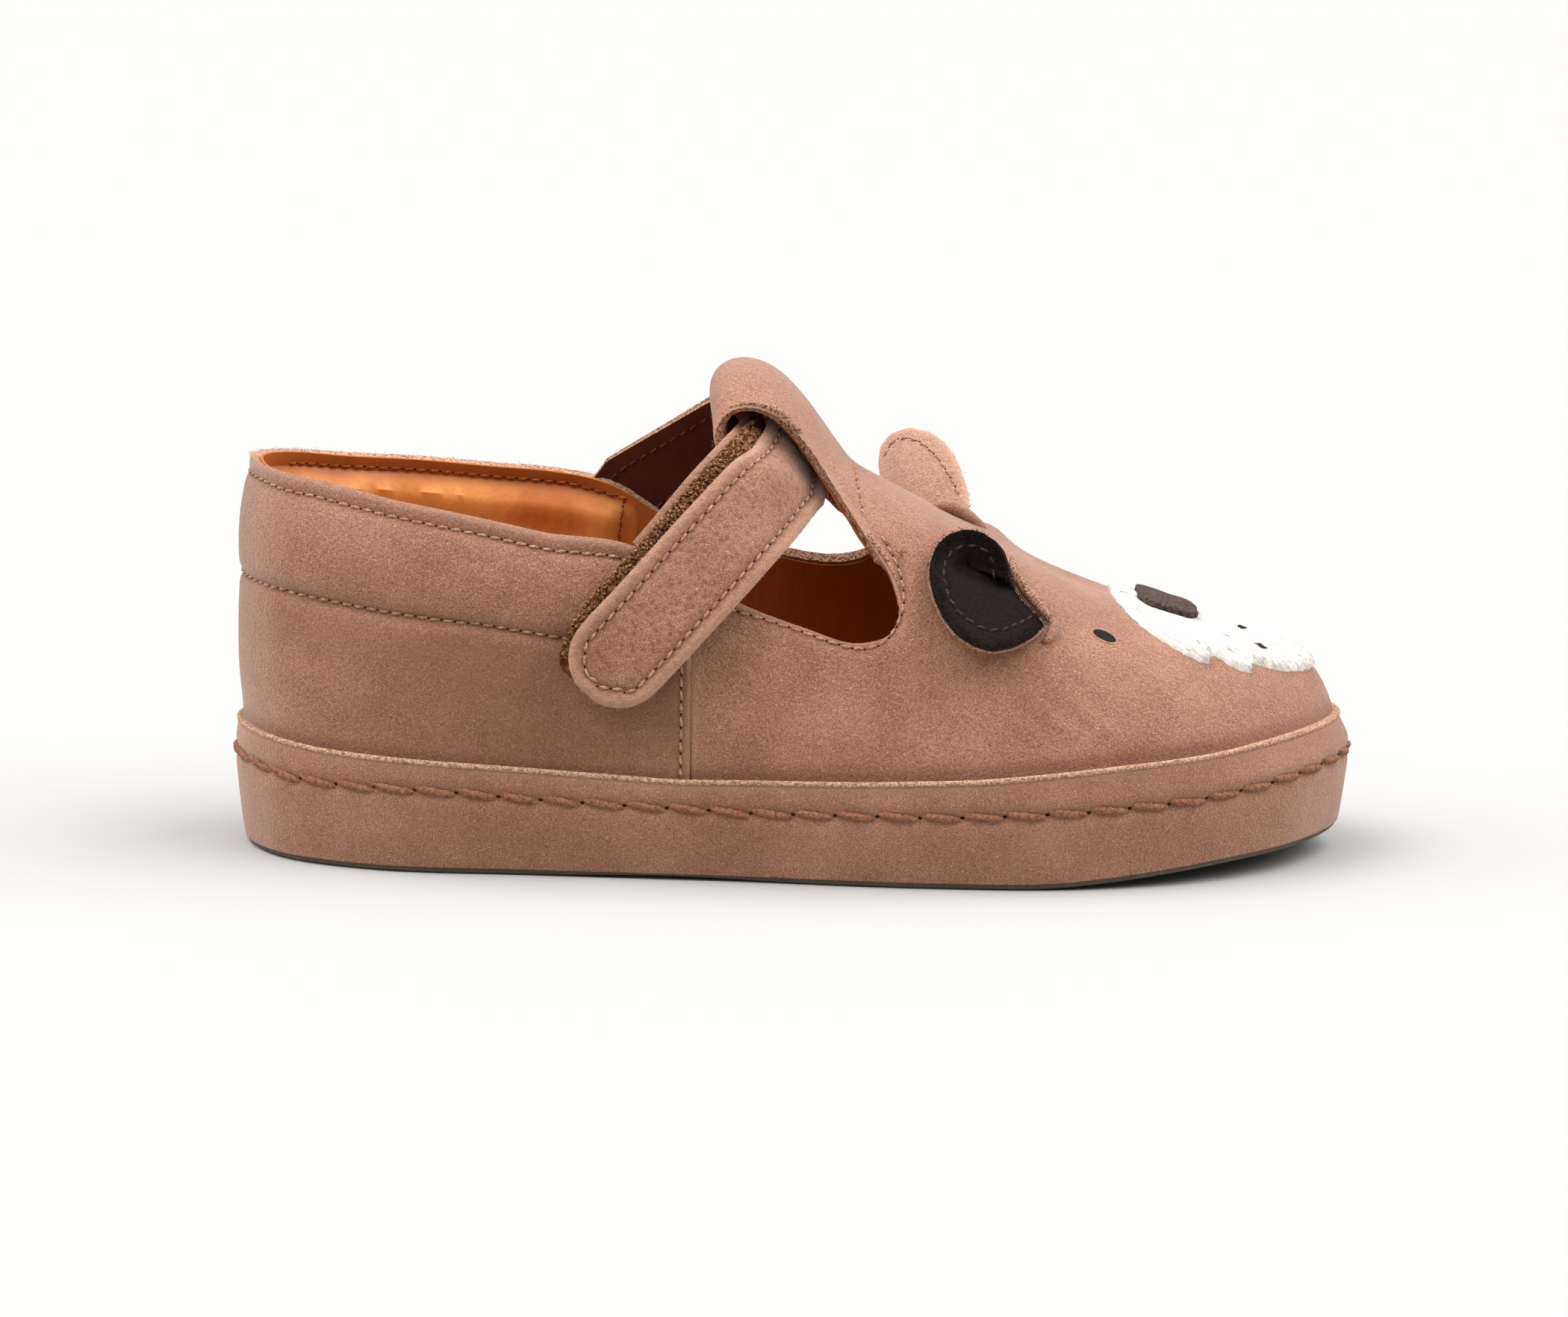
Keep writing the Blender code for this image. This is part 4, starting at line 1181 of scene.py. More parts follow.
def make_sole():
    """The wrap, its top edge left raw, with the insole and the outsole."""
    wrap = round_copy("sole_wrap", "sole_wrap_leather", 35, 0.6, 3, WRAP_LEATHER, RAW_EDGE_PALE)
    for face in wrap.data.polygons:
        place = np.array(face.center) / MM - ZERO
        face.material_index = int(face.normal.z > 0.35 and place[2] > rim_height(place[0]) - 1.0)
    set_points(wrap, hug(points_of(wrap)))
    insole = round_copy("insole", "insole_leather", 35, 0.7, 2, LINING)
    return wrap, insole, round_copy("outsole", "outsole_rubber", 35, 0.8, 2, RUBBER)


def belt(tree, height):
    """A closed line round the wrap at a height that depends on the place along."""
    row = girdle(tree, height, (TOE_TURN, TOE_TURN), steps=90)
    toe = bow(tree, height, (TOE_TURN, 2.5), 90, -90, 90)
    return relaxed(np.vstack([row, toe]), 4, closed=True)


def thread_row(tree):
    """The closed row of heavy thread round the wrap, at the height that the photograph shows."""
    shown = seen(tree, THREAD_PIXELS)
    return belt(tree, lambda x: np.interp(x, shown[:, 0], shown[:, 2]))


# Face


def web(name, points, spokes, materials):
    """A sheet like a web: a middle point, then rings of points round it; its face is on the camera's side."""
    faces = [(0, 1 + k, 1 + (k + 1) % spokes) for k in range(spokes)]
    for a in range(1, len(points) - spokes, spokes):
        for k in range(spokes):
            n = (k + 1) % spokes
            faces.append((a + k, a + spokes + k, a + spokes + n, a + n))
    piece = new_piece(name, points, faces, *materials)
    facing = np.mean([face.normal for face in piece.data.polygons], axis=0)
    if facing[1] > 0.4 * facing[2]:
        flip(piece)
    return piece


def ear_grid(name, outline, middle, lift, plane, materials, rings=22, spokes=140):
    """A flap whose outline is the photograph's, standing off a plane by a height at each place."""
    path, _ = spaced(level(outline), 0.01, closed=True)
    steps = np.linspace(0, len(path), spokes, endpoint=False).astype(int)
    rim = relaxed(path[steps], 2, closed=True)[:, :2]
    middle = np.array(middle, float)
    flat = [middle]
    for ring in range(1, rings + 1):
        flat.extend(middle + (rim - middle) * (ring / rings))
    flat = np.array(flat)
    reach = np.concatenate([[0.0], np.repeat(np.arange(1, rings + 1) / rings, spokes)])
    origin, normal = plane
    start, ways = camera_rays(flat)
    travel = ((origin - start) @ normal) / (ways @ normal)
    return web(name, start + ways * (travel - lift(flat, reach))[:, None], spokes, materials)


def near_ear_lift(flat, reach):
    """A bowl above the crease and a flatter lobe below it; the rim stands off most at the top."""
    (ax, ay), (bx, by) = NEAR_EAR_CREASE
    along = np.array([bx - ax, by - ay])
    length = np.linalg.norm(along)
    along = along / length
    away = flat - np.array([ax, ay])
    s = np.clip((away @ along) / length, 0, 1)
    above = (away[:, 0] * along[1] - away[:, 1] * along[0]) / PIXELS_PER_MM
    top = smooth(above / 7.0)
    free = smooth(distance_to(level(flat), level(NEAR_EAR_SLIT)) / PIXELS_PER_MM / 6.0)
    upper = smooth(above / 0.7)
    rim = 2.2 + 3.4 * free + 1.8 * upper * s + 2.6 * top
    floor = 4.9 + 0.3 * (1 - s)
    fold = (0.4 + 2.4 * s) * smooth(above / 0.5) * smooth(s * 3.0 + 0.15) * bell(above, 5.0)
    valley = 4.2 * bell(above, np.where(above > 0, 3.0, 1.2)) * (1 - 0.35 * s) * smooth(s * 2.5 + 0.3)
    return floor + (rim - floor) * reach ** (1.3 + 0.9 * top) + fold - valley * (1 - reach**4)


def near_ear_back(flat, reach):
    """The tan layer runs behind the folds without following them."""
    return near_ear_lift(flat, reach) * 0.25 + 0.75 * (1.0 + 1.8 * reach**2)


def far_ear_lift(flat, reach):
    """The far ear's back is rounded: it turns away at its left edge and its rim."""
    return 2.0 * (1 - reach**2) - 1.5 * smooth((1215 - flat[:, 0]) / 40)


def twin_sheet(face, name, spread, behind, *materials):
    """A second layer behind a flap's face, spread a little past its edge."""
    back = copy_of(face, name, *materials)
    points = points_of(face)
    set_points(back, points + spread * (points - points[0]) - behind * normals_of(face))
    return back


def clear_of(piece, tree, gap, slit):
    """Lifts a flap's points to a clear distance from the vamp, down to nothing at the slit it grows from."""
    points = points_of(piece)
    near, normals = settle(tree, points)
    height = ((points - near) * normals).sum(axis=1)
    grown = smooth(distance_to(points, slit[:2]) / 5.0)
    short = np.clip(gap * (0.35 + 0.65 * grown) - height, 0, None)
    set_points(piece, points + short[:, None] * normals)


def make_near_ear(tree):
    """The lateral ear: a dark face with folds, and a tan back that shows past its edge."""
    corners = seen(tree, NEAR_EAR_SEAT)
    plane = (corners[0], unit(np.cross(corners[1] - corners[0], corners[2] - corners[0])))
    layers = (DARK_SUEDE, DARK_FIBRE)
    face = ear_grid("ear_lateral_face", NEAR_EAR, NEAR_EAR_MIDDLE, near_ear_lift, plane, layers)
    clear_of(face, tree, 1.3, corners)
    wide = [NEAR_EAR_MIDDLE + 1.03 * (np.array(spot) - NEAR_EAR_MIDDLE) for spot in NEAR_EAR]
    back = ear_grid("ear_lateral_back", wide, NEAR_EAR_MIDDLE, near_ear_back, plane, (NUBUCK, RAW_EDGE))
    clear_of(back, tree, 0.85, corners)
    inner, outer = points_of(back), points_of(face)
    start, _ = camera_rays([AIM_PIXEL])
    sight = unit(outer - start)
    behind = ((inner - outer) * sight).sum(axis=1)
    set_points(back, inner + sight * np.clip(0.8 - behind, 0, None)[:, None])
    return face, back


def soft_tube(name, path, widths, flat, material):
    """A soft strip along a path: a tube that is wider than it is high, closed and tapered at both ends."""
    points, ways = spaced(path, 0.35)
    normals = unit(camera_rays([AIM_PIXEL])[0] - points)
    sides = unit(np.cross(normals, ways))
    tops = np.cross(ways, sides)
    at = np.linspace(0, 1, len(points))
    taper = np.clip(np.sqrt(8 * at * (1 - at)), 0.05, 1)
    half = 0.5 * (np.interp(at, np.linspace(0, 1, len(widths)), widths) * taper)[:, None]
    turns = np.linspace(0, 2 * math.pi, 10, endpoint=False)
    rings = [points + half * (math.cos(t) * sides + flat * math.sin(t) * tops) for t in turns]
    count = len(points)
    faces = []
    for k in range(10):
        a, b = k * count, (k + 1) % 10 * count
        faces += [(a + i, b + i, b + i + 1, a + i + 1) for i in range(count - 1)]
    faces.append(tuple(k * count for k in reversed(range(10))))
    faces.append(tuple(k * count + count - 1 for k in range(10)))
    piece = new_piece(name, np.concatenate(rings), faces, material)
    with editing(piece, action="SELECT"):
        bpy.ops.mesh.normals_make_consistent(inside=False)
    return piece


def make_far_ear():
    """The medial ear, of which the camera sees the tan back."""
    node = frame["nodes"]["ear_medial"]
    middle = np.mean([vertex.co for vertex in node.data.vertices], axis=0) / MM - ZERO
    plane = (middle, unit(np.array(FAR_EAR_FACES)))
    # The far ear's back takes the lighter copy of the nubuck, painted light
    layers = (NUBUCK_PAINTED_LIGHT, RAW_EDGE)
    back = ear_grid("ear_medial_back", FAR_EAR, FAR_EAR_MIDDLE, far_ear_lift, plane, layers)
    return back, twin_sheet(back, "ear_medial_face", 0.012, 0.95, DARK_SUEDE, DARK_FIBRE)


def scattered(piece, count):
    """Points spread evenly over a piece's faces, and the normals there."""
    piece.data.calc_loop_triangles()
    points = points_of(piece)
    corners = np.array([triangle.vertices for triangle in piece.data.loop_triangles])
    a, b, c = (points[corners[:, k]] for k in range(3))
    cross = np.cross(b - a, c - a)
    area = np.linalg.norm(cross, axis=1)
    pick = RANDOM.choice(len(area), count, p=area / area.sum())
    u, v = RANDOM.uniform(0, 1, (2, count, 1))
    over = u + v > 1
    u, v = np.where(over, 1 - u, u), np.where(over, 1 - v, v)
    return a[pick] + u * (b[pick] - a[pick]) + v * (c[pick] - a[pick]), unit(cross[pick])


def combed(points, normals, lift):
    """The way the muzzle's hair lies: forwards and down from the nose to both cheeks."""
    side = np.tanh((points[:, 1] - FACE_AXIS) / 5)
    ways = np.stack([np.full(len(points), 0.8), 0.45 * side, np.full(len(points), -0.35)], axis=1)
    ways = ways + RANDOM.normal(0, 0.1, ways.shape)
    ways = unit(ways - (ways * normals).sum(axis=1, keepdims=True) * normals)
    return unit(ways + lift * normals)


def muzzle_edge(tree):
    """The patch's edge on the vamp: the cheek that the photograph shows, and its twin on the far side."""
    near = seen(tree, CHEEK)
    twin = near[::-1] * np.array([1, -1, 1]) + np.array([0, 2 * FACE_AXIS, 0])
    line, _ = spaced(np.vstack([near, twin]), 0.3, closed=True)
    return settle(tree, relaxed(line, 3, closed=True))[0]


def make_muzzle(vamp_tree):
    """A white hair-on hide patch: the hide, its coat, longer tufts at the cheeks and a few dark hairs."""
    edge = muzzle_edge(vamp_tree)
    middle = edge.mean(axis=0)
    rows = [middle]
    for reach in np.concatenate([np.linspace(0.05, 0.9, 16), (0.93, 0.955, 0.975, 0.99, 1.0)]):
        rows.extend(middle + reach * (edge - middle))
    base, normals = settle(vamp_tree, rows)
    inside = np.clip((distance_to(base, edge, closed=True) - 0.18) / 1.4, 0, 1)
    height = 1.15 * np.sqrt(1 - (1 - inside) ** 2) - 0.15
    hide = web("muzzle_hide", base + height[:, None] * normals, len(edge), (HAIR_HIDE, HAIR_HIDE))
    tree = tree_of(hide)
    roots, normals = scattered(hide, 7500)
    flat = (normals * settle(vamp_tree, roots)[1]).sum(axis=1) > 0.85
    roots, normals = roots[flat], normals[flat]
    ways = combed(roots, normals, 0.03)
    lengths = RANDOM.uniform(0.6, 1.4, len(roots))
    starts, tips = (seen(vamp_tree, ends) for ends in zip(*TUFTS))
    picks = np.repeat(np.arange(len(TUFTS)), 30)
    tuft_ways = unit(tips - starts)[picks]
    tuft_roots = starts[picks] + RANDOM.normal(0, 0.42, (len(picks), 3)) - 0.8 * tuft_ways
    tuft_roots, tuft_normals = settle(vamp_tree, tuft_roots)
    tuft_roots = tuft_roots + RANDOM.uniform(0.7, 1.1, (len(picks), 1)) * tuft_normals
    ends = tips[picks] + 0.5 * settle(vamp_tree, tips)[1][picks] + RANDOM.normal(0, 0.16, tuft_roots.shape)
    aims = unit(ends - tuft_roots)
    reach = np.linalg.norm(tips[picks] - tuft_roots, axis=1) * RANDOM.uniform(0.7, 1.0, len(picks))
    coat = bristle(
        "muzzle_coat",
        np.vstack([roots, tuft_roots]),
        np.vstack([ways, aims]),
        np.vstack([normals, tuft_normals]),
        np.concatenate([lengths, reach]),
        np.concatenate([np.full(len(roots), 0.1), np.full(len(picks), 0.12)]),
        WHITE_HAIR,
    )
    fringe = fuzz("muzzle_fringe", vamp_tree, edge, 1100, 0.5, 0.06, WHITE_HAIR, 0.15)
    dots = seen(tree, [pixel[:2] for pixel in FRECKLES])
    picks = np.repeat(np.arange(len(FRECKLES)), [count for _, _, count, _ in FRECKLES])
    spots, normals = settle(tree, dots[picks] + RANDOM.normal(0, 0.28, (len(picks), 3)))
    freckles = bristle(
        "muzzle_dark_hairs",
        spots + 0.2 * normals,
        combed(spots, normals, 0.05),
        normals,
        RANDOM.uniform(0.9, 1.5, len(spots)),
        np.array([thick for _, _, _, thick in FRECKLES])[picks],
        DARK_HAIR,
    )
    close_sheet(hide, HIDE_THICK)
    return hide, coat, fringe, freckles


def make_nose():
    """A flat pad of suede with rounded corners, let down into the muzzle's hair."""
    nose = round_copy("nose", "nose_leather", 50, 0.35, 2, NOSE_SUEDE)
    points = points_of(nose)
    middle = points[:, 0].mean()
    points[:, 2] -= 0.3 + 0.2 * smooth((middle - points[:, 0]) / 5)
    away = points[:, :2] - np.array([middle, FACE_AXIS])
    half = np.abs(away).max(axis=0)
    turn = np.abs(unit(away / half))
    square = (turn**3.0).sum(axis=1) ** (-1 / 3.0)
    points[:, :2] = np.array([middle + 0.3, FACE_AXIS]) + away * np.array([0.87, 0.95]) * square[:, None]
    set_points(nose, points)
    return nose


def make_eyes(tree):
    """Black dots let into the vamp, each with a low lip of leather round it."""
    lateral, lateral_normal = settle(tree, seen(tree, [EYE]))
    medial, medial_normal = settle(tree, across(tree, [(lateral[0][0], lateral[0][2])], MEDIAL))
    places, lips = [], []
    for spot, normal in ((lateral[0], lateral_normal[0]), (medial[0], medial_normal[0])):
        way = np.array([0.93, 0.0, -0.36])
        way = unit(way - (way @ normal) * normal)
        side = np.cross(normal, way)
        places.append([spot - 0.05 * normal, way * 4.0, side * 2.4, normal * 0.55])
        lips.append([spot - 0.12 * normal, way * 4.8, side * 3.1, normal * 0.5])
    return stamp("eyes", EYE_DOT, places, EYE_LEATHER), stamp("eye_lips", EYE_DOT, lips, NUBUCK)


def dot_shape():
    """A round dot with a soft brim, to be stretched where it is stamped."""
    bpy.ops.object.select_all(action="DESELECT")
    bpy.ops.mesh.primitive_uv_sphere_add(segments=24, ring_count=12, radius=0.5)
    bpy.ops.object.mode_set(mode="EDIT")
    points, faces = model_shape(lambda dots: np.sign(dots) * np.abs(dots) ** np.array([1.0, 1.0, 0.8]))
    # Blender orders this ball's faces differently in each run
    return points, sorted(faces)


# Finishes

NUBUCK = nubuck("nubuck_rose_brown", "#6f4536", "#986953", "#bd927a", 0.3, 0.6)
# A lighter copy of the nubuck for the far ear's back: painted light, for the light that falls on its top
NUBUCK_PAINTED_LIGHT = nubuck("nubuck_rose_brown_painted_light", "#7a5242", "#a67a64", "#caa28c", 0.3, 0.6)
NUBUCK_PEBBLED = nubuck("nubuck_rose_brown_pebbled", "#6f4536", "#986953", "#bd927a", 0.6, 1.1)
WRAP_LEATHER = nubuck("wrap_leather_rose_brown", "#744b3b", "#966752", "#b98d76", 0.15, 0.5)
# The cut edge of a hide: loose pale fibres in bundles of about 0.4 mm, with dark hollows between them
CUT = {"size": 1 / 2.6, "noise": (2.0, 0.7), "spread": (0.36, 0.6), "bump": (0.9, 0.0004)}
RAW_EDGE = fine_texture("raw_hide_edge", "#c0947a", "#593828", Roughness=0.95, Specular_IOR_Level=0.1, **CUT)
RAW_EDGE_PALE = fine_texture(
    "raw_hide_edge_pale", "#cfa78d", "#85604c", Roughness=0.95, Specular_IOR_Level=0.1, **CUT
)
LINING = smooth_leather("plated_lining_leather", "#bd692c", "#d98a45", 0.45)
# The vamp's lining: a piece of its own, darker than the collar's as painted shade inside the toe
SHADED_VAMP_LINING = smooth_leather("plated_vamp_lining_painted_shade", "#643418", "#7c4420", 0.55)
STRAP_LINING = smooth_leather("brown_strap_lining", "#3d180f", "#4f2216", 0.6)
# Natural rubber sheet: olive-grey and dull, with a fine dusty skin of specks of 0.7 mm
DUST = {"size": 1 / 1.4, "noise": (3.0, 0.5), "spread": (0.0, 1.0), "bump": (0.3, 0.0002)}
RUBBER = fine_texture(
    "moulded_rubber_sheet", "#6d6355", "#4a4238", Roughness=0.82, Specular_IOR_Level=0.3, **DUST
)
# Thread, and the painted shade of a needle's hole: plies of 0.4 mm
THREAD = fine_texture("spun_thread_tan", "#c39a7e", "#8a6049", 0.4)
HEAVY_THREAD = fine_texture("waxed_linen_thread_brown", "#9e6d56", "#704737", 0.4)
LINING_THREAD = fine_texture("spun_thread_orange", "#b5692c", "#7c4116", 0.4)
EAR_THREAD = fine_texture("spun_thread_dark", "#4b3a35", "#2b201d", 0.4)
INNER_THREAD = fine_texture("spun_thread_red_brown", "#6a3f2f", "#3f2117", 0.4)
NEEDLE_HOLE_SHADE = fine_texture("needle_hole_shade", "#2e1a13", "#1a0e0a", 0.4)
# Suede, calf, hair and the fibres that stand off a cut edge: matt, in strands of about 0.5 mm
DARK_SUEDE = fine_texture("black_brown_suede", "#1d1211", "#0f0908", 0.5, bump=(0.25, 0.0003))
DARK_FIBRE = fine_texture("black_brown_fibre", "#2b1f1c", "#150d0c", 0.5)
NOSE_SUEDE = fine_texture("dark_brown_suede", "#62514a", "#281e1a", 0.45)
EYE_LEATHER = fine_texture("black_calf", "#1f1919", "#0d0a0a", 0.6, Roughness=0.6)
HAIR_HIDE = fine_texture("white_hair_hide", "#e6e2dd", "#d9d4cc", 0.8)
WHITE_HAIR = fine_texture("white_hair", "#e9e5e0", "#dcd7cf", 1.5, bump=(0.1, 0.0003), Roughness=0.7)
DARK_HAIR = fine_texture("dark_hair", "#3c3330", "#241d1b", 0.5)
EDGE_FIBRE = fine_texture("loose_hide_fibre", "#d3ac92", "#9a745e", 0.5)
# Woven tape and its pile: coarse yarn that catches the light in specks
TAPE = fine_texture("woven_nylon_tape_brown", "#7d4c28", "#452611", 0.9)
PILE = fine_texture("nylon_pile_brown", "#b0825c", "#5e381e", 0.5)

# Building order: what lies on a sheet is measured on its open face before the sheet gets its wall

camera = make_camera()
make_studio()
STITCH = thread_shape(6, 6, 1.0, 2, 0.2, 3.0)
HEAVY_STITCH = thread_shape(10, 12, 2.2, 2, 0.2, 3.2)
BEAD = bead_shape(2)
KNOB = bead_shape(1)
HAIR = hair_shape()
EYE_DOT = dot_shape()

sheets = make_upper()
vamp, quarters, tab = sheets["vamp"], sheets["quarters"], sheets["quarter_tab"]
vamp_tree = tree_of(vamp)
quarter_tree = tree_of(quarters)


def collar_stitch_height(along):
    return read(EDGE_COLUMNS, EDGE, "lateral", along) - 2.4


side_rows = [(SIDE_SEAM - 1.4, z) for z in np.linspace(14.5, 40.0, 30)]
medial_part = inset_line(vamp, vamp_tree, 2.3, lambda p: p[1] > 0 and 34 < p[2] < 55 and p[0] > -14)
upper_rows = [
    ("collar_stitches", quarters, girdle(quarter_tree, collar_stitch_height, (-25.0, -27.0))),
    ("collar_seam_stitches", quarters, girdle(quarter_tree, seam_height, (-24.0, -24.0))),
    ("side_seam_lateral", quarters, across(quarter_tree, side_rows, LATERAL)),
    ("side_seam_medial", quarters, across(quarter_tree, side_rows, MEDIAL)),
    ("cut_out_lateral", vamp, relaxed(seen(vamp_tree, CUT_OUT_PIXELS), 2)),
    ("cut_out_medial", vamp, medial_part),
]
bar_row = seen(vamp_tree, BAR_PIXELS)
for _, sheet, row in upper_rows:
    draw_in(sheet, row, 0.25, 0.8)
# Painted shade on the quarters: darker below the collar's seam, under the padded collar that overhangs it,
# and in a band lower down
places = points_of(quarters)
under = seam_height(places[:, 0]) - places[:, 2]
below = smooth(under / 4) * smooth((places[:, 0] + 72) / 30)
hollow = bell(under - 5, 5) * smooth((places[:, 0] + 94) / 10)
paint(quarters, "painted_shade_and_facing", np.clip(0.4 * below + 0.25 * hollow, 0, 0.5))
# Painted shade on the vamp and quarters just above the wrap's top edge, where the wrap shades them
for sheet in (vamp, quarters):
    places = points_of(sheet)
    paint(sheet, "painted_shade_and_facing", 0.5 * bell(places[:, 2] - rim_height(places[:, 0]) - 0.8, 1.3))
vamp_tree = tree_of(vamp)
quarter_tree = tree_of(quarters)
sewn = []
for name, sheet, row in upper_rows + [("bar_stitches", vamp, bar_row)]:
    sewn += sew(name, vamp_tree if sheet == vamp else quarter_tree, row)

depths = pixels_of(seen(vamp_tree, FAR_EAR_FOLD))[1]
steps = np.arange(len(depths))
welt_depth = np.polyval(np.polyfit(steps, depths, 1), steps) + 0.6
welt_line = relaxed(spaced(at_pixels(FAR_EAR_FOLD, welt_depth), 0.5)[0], 8) - np.array([0, 0, 0.5])
carry(soft_tube("ear_medial_welt", welt_line, (0.6, 2.0, 2.4, 2.3, 1.9, 0.8), 1.15, NUBUCK), "nubuck")
bar_line = relaxed(spaced(seen(vamp_tree, BAR_EDGE), 0.8)[0], 4)
bar_line = bar_line + 0.1 * settle(vamp_tree, bar_line)[1]
bar_widths = (0.6, 1.3, 1.5, 1.5, 1.5, 1.5, 1.3, 0.9, 0.5)
carry(soft_tube("bar_raw_edge", bar_line, bar_widths, 0.7, RAW_EDGE), "nubuck")
near_face, near_back = make_near_ear(vamp_tree)
face_tree = tree_of(near_face)
sewn += sew("ear_lateral_stitches", face_tree, seen(face_tree, NEAR_EAR_STITCHES), thread=EAR_THREAD)
far_back, far_face = make_far_ear()
far_tree = tree_of(far_back)
sewn += sew("ear_medial_stitches", far_tree, seen(far_tree, FAR_EAR_STITCHES))
eyes, lips = make_eyes(vamp_tree)
for sheet, tree in ((vamp, vamp_tree), (quarters, quarter_tree), (tab, tree_of(tab))):
    edges = np.vstack([line for line, _ in rim_loops(sheet)])
    edges = edges[(edges[:, 2] > 33) & (np.abs(edges[:, 0] - SIDE_SEAM) > 1.0)]
    soften_rim(sheet, 0.35, 0.9)
    close_sheet(sheet, OUTER_THICK)
    carry(sheet, "nubuck", "upper")
    fibres = fuzz(sheet.name + "_fuzz", tree, edges, 500, 0.35, 0.06, EDGE_FIBRE, 0.12)
    carry(fibres, "nubuck")
quarters.data.materials[1] = RAW_EDGE_PALE
lining = make_lining()
lining_tree = tree_of(lining)
lining_rows = [(x, read(EDGE_COLUMNS, EDGE, "medial", x) - 2.1) for x in np.linspace(-78.0, -27.0, 60)]
pad_top = read(EDGE_COLUMNS, EDGE, "medial", -27.0)
pad_rows = [(-26.6 - 0.12 * drop, pad_top - drop) for drop in np.linspace(2.5, 16, 14)]
for name, rows in (("lining_stitches", lining_rows), ("pad_end_stitches", pad_rows)):
    sewn += sew(name, lining_tree, across(lining_tree, rows, MEDIAL), thread=LINING_THREAD)
loose_root = seen(vamp_tree, [LOOSE_END])
carry(fuzz("loose_end", vamp_tree, loose_root, 14, 1.3, 0.12, LINING_THREAD, 0.3), "lining_leather")
close_sheet(lining, LINING_THICK)
carry(lining, "lining_leather", "upper")

strap, strap_lining = make_strap()
strap_tree = tree_of(strap)
strap_row = inset_line(strap, strap_tree, 2.4)
carry(fuzz("strap_fuzz", strap_tree, longest_rim(strap)[0], 700, 0.3, 0.06, EDGE_FIBRE, 0.1), "nubuck")
draw_in(strap, strap_row, 0.35, 0.9, closed=True)
soften_rim(strap, 0.5, 1.6)
strap_tree = tree_of(strap)
sewn += sew("strap_stitches", strap_tree, strap_row, closed=True)
inner_tree = tree_of(strap_lining)
inner_row = inset_line(strap_lining, inner_tree, 2.4)
sewn += sew("strap_inner_stitches", inner_tree, inner_row, closed=True, thread=INNER_THREAD)
tape_edge, tab_edge = make_tape(strap_tree)
pile = make_pile(tape_edge)
close_sheet(tape_edge, TAPE_THICK)
soften_rim(tab_edge, 0.3, 1.0)
close_sheet(tab_edge, TAB_EDGE_THICK)
carry(tape_edge, "hook_and_loop")
carry(pile, "hook_and_loop")
carry(tab_edge, "nubuck")
close_sheet(strap, STRAP_THICK)
close_sheet(strap_lining, STRAP_LINING_THICK)
carry(strap, "nubuck", "strap")
carry(strap_lining, "dark_leather", "strap")
for node in ("fastener_loop_tape", "fastener_hook_tape"):
    tape = round_copy(node, node + "_woven", 50, 0.8, 2, TAPE)
    flat, depth = pixels_of(points_of(tape))
    sunk = 2.4 * smooth((860 - flat[:, 1]) / 60) if node == "fastener_hook_tape" else 0.0
    set_points(tape, at_pixels(flat, depth + sunk))
    carry(tape, "hook_and_loop", node)

wrap, insole, outsole = make_sole()
wrap_tree = tree_of(wrap)
row = thread_row(wrap_tree)
draw_in(wrap, row, 0.5, 1.1, closed=True)
wrap_tree = tree_of(wrap)
wrap_edge = belt(wrap_tree, lambda x: rim_height(x) - 0.25)
paint(wrap, "pale_edge", bell(distance_to(points_of(wrap), wrap_edge, closed=True), 0.9))
wrap_edge, _ = spaced(wrap_edge, 0.3, closed=True)
lip_line = np.roll(wrap_edge, -int(np.argmax(wrap_edge[:, 1])), axis=0)
carry(soft_tube("wrap_raw_lip", lip_line, (0.85, 0.85), 1.0, RAW_EDGE_PALE), "wrap_leather")
carry(fuzz("wrap_fuzz", wrap_tree, wrap_edge, 2000, 0.55, 0.07, EDGE_FIBRE), "wrap_leather")
heavy = {"pitch": 6.3, "long": 7.3, "thick": 1.12, "lean": -8, "hole": 0.5, "thread": HEAVY_THREAD}
sewn += sew("wrap_thread", wrap_tree, row, closed=True, **heavy)
carry(wrap, "wrap_leather", "sole_wrap")
carry(insole, "lining_leather", "insole")
carry(outsole, "rubber", "outsole")

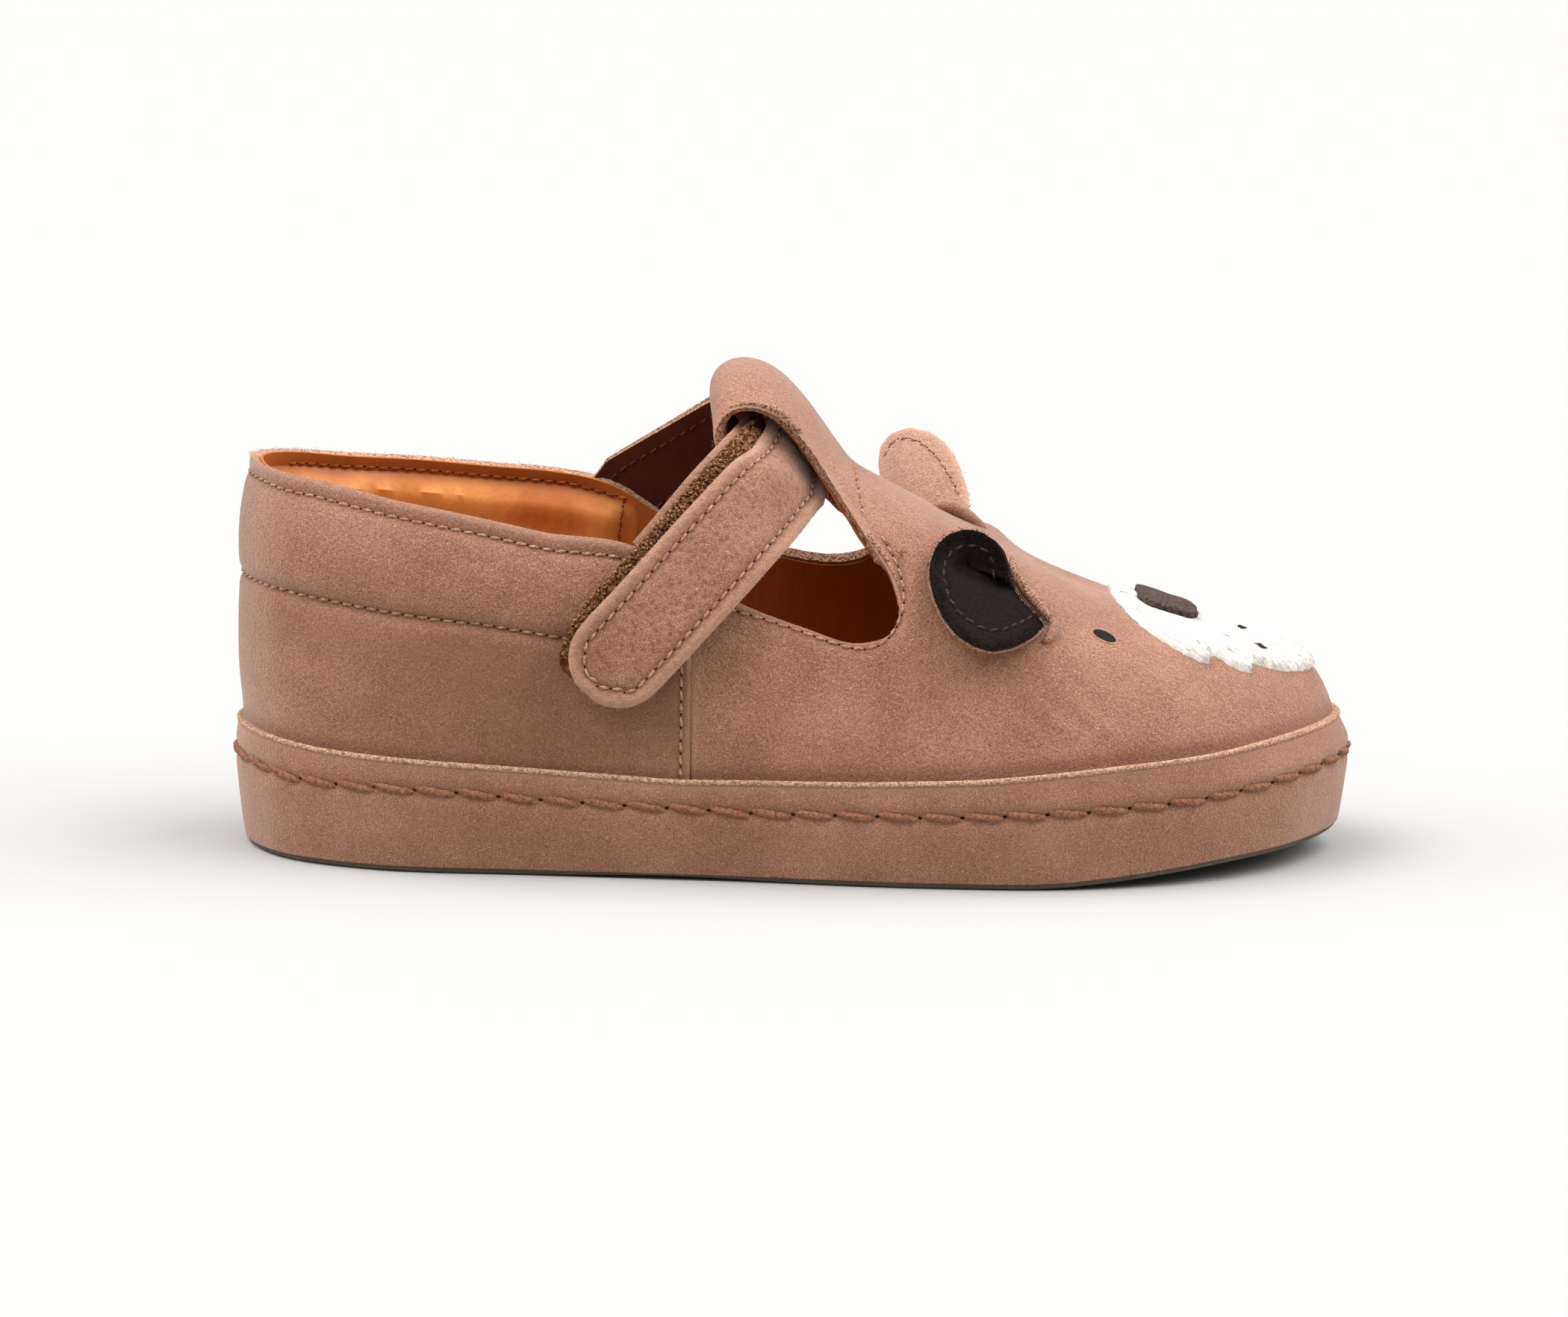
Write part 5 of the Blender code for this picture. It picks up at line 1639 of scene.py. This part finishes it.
near_rim, near_way = longest_rim(near_face)
far_rim = longest_rim(far_face)[0]
far_rim = far_rim[far_rim[:, 0] > 20]
for sheet in (near_face, near_back, far_back, far_face):
    soften_rim(sheet, 0.25, 0.8)
    close_sheet(sheet, EAR_THICK)
carry(near_face, "dark_leather", "ear_lateral_lining")
carry(near_back, "nubuck", "ear_lateral")
slit_line = seen(vamp_tree, NEAR_EAR_RAW)
slit_line = slit_line + np.linspace(1.0, 0.5, len(slit_line))[:, None] * settle(vamp_tree, slit_line)[1]
carry(soft_tube("ear_lateral_slit", slit_line, (0.9, 1.5, 1.5, 1.2), 0.9, RAW_EDGE), "nubuck")
tuck_line = seen(vamp_tree, NEAR_EAR_TUCK)
tuck_line = tuck_line + 0.4 * settle(vamp_tree, tuck_line)[1]
carry(soft_tube("ear_lateral_tuck", tuck_line, (1.2, 1.5, 1.2), 0.8, NUBUCK), "nubuck")
slit_dots, _ = spaced(slit_line, 0.3)
carry(fuzz("ear_lateral_slit_fuzz", vamp_tree, slit_dots, 160, 0.5, 0.07, EDGE_FIBRE, 0.35), "nubuck")
band = near_rim + near_way * RANDOM.uniform(0.1, 1.7, (len(near_rim), 1))
band = settle(face_tree, np.vstack([band, near_rim + 0.6 * near_way, near_rim + 1.1 * near_way]))[0]
for name, tree, edge, count, long, thick, spread in (
    ("ear_lateral_rim", face_tree, band, 1200, 0.5, 0.13, 0.25),
    ("ear_lateral_fuzz", face_tree, near_rim, 900, 0.5, 0.09, 0.15),
    ("ear_medial_fuzz", far_tree, far_rim, 300, 0.45, 0.08, 0.15),
):
    carry(fuzz(name, tree, edge, count, long, thick, DARK_FIBRE, spread), "dark_leather")
carry(far_back, "nubuck", "ear_medial")
carry(far_face, "dark_leather", "ear_medial_lining")
hide, coat, fringe, freckles = make_muzzle(vamp_tree)
carry(hide, "hair_hide", "muzzle")
carry(coat, "hair_hide")
carry(fringe, "hair_hide")
carry(freckles, "dark_leather")
carry(make_nose(), "dark_leather", "nose")
carry(eyes, "dark_leather")
carry(lips, "nubuck")
for piece in sewn:
    carry(piece, "nubuck")
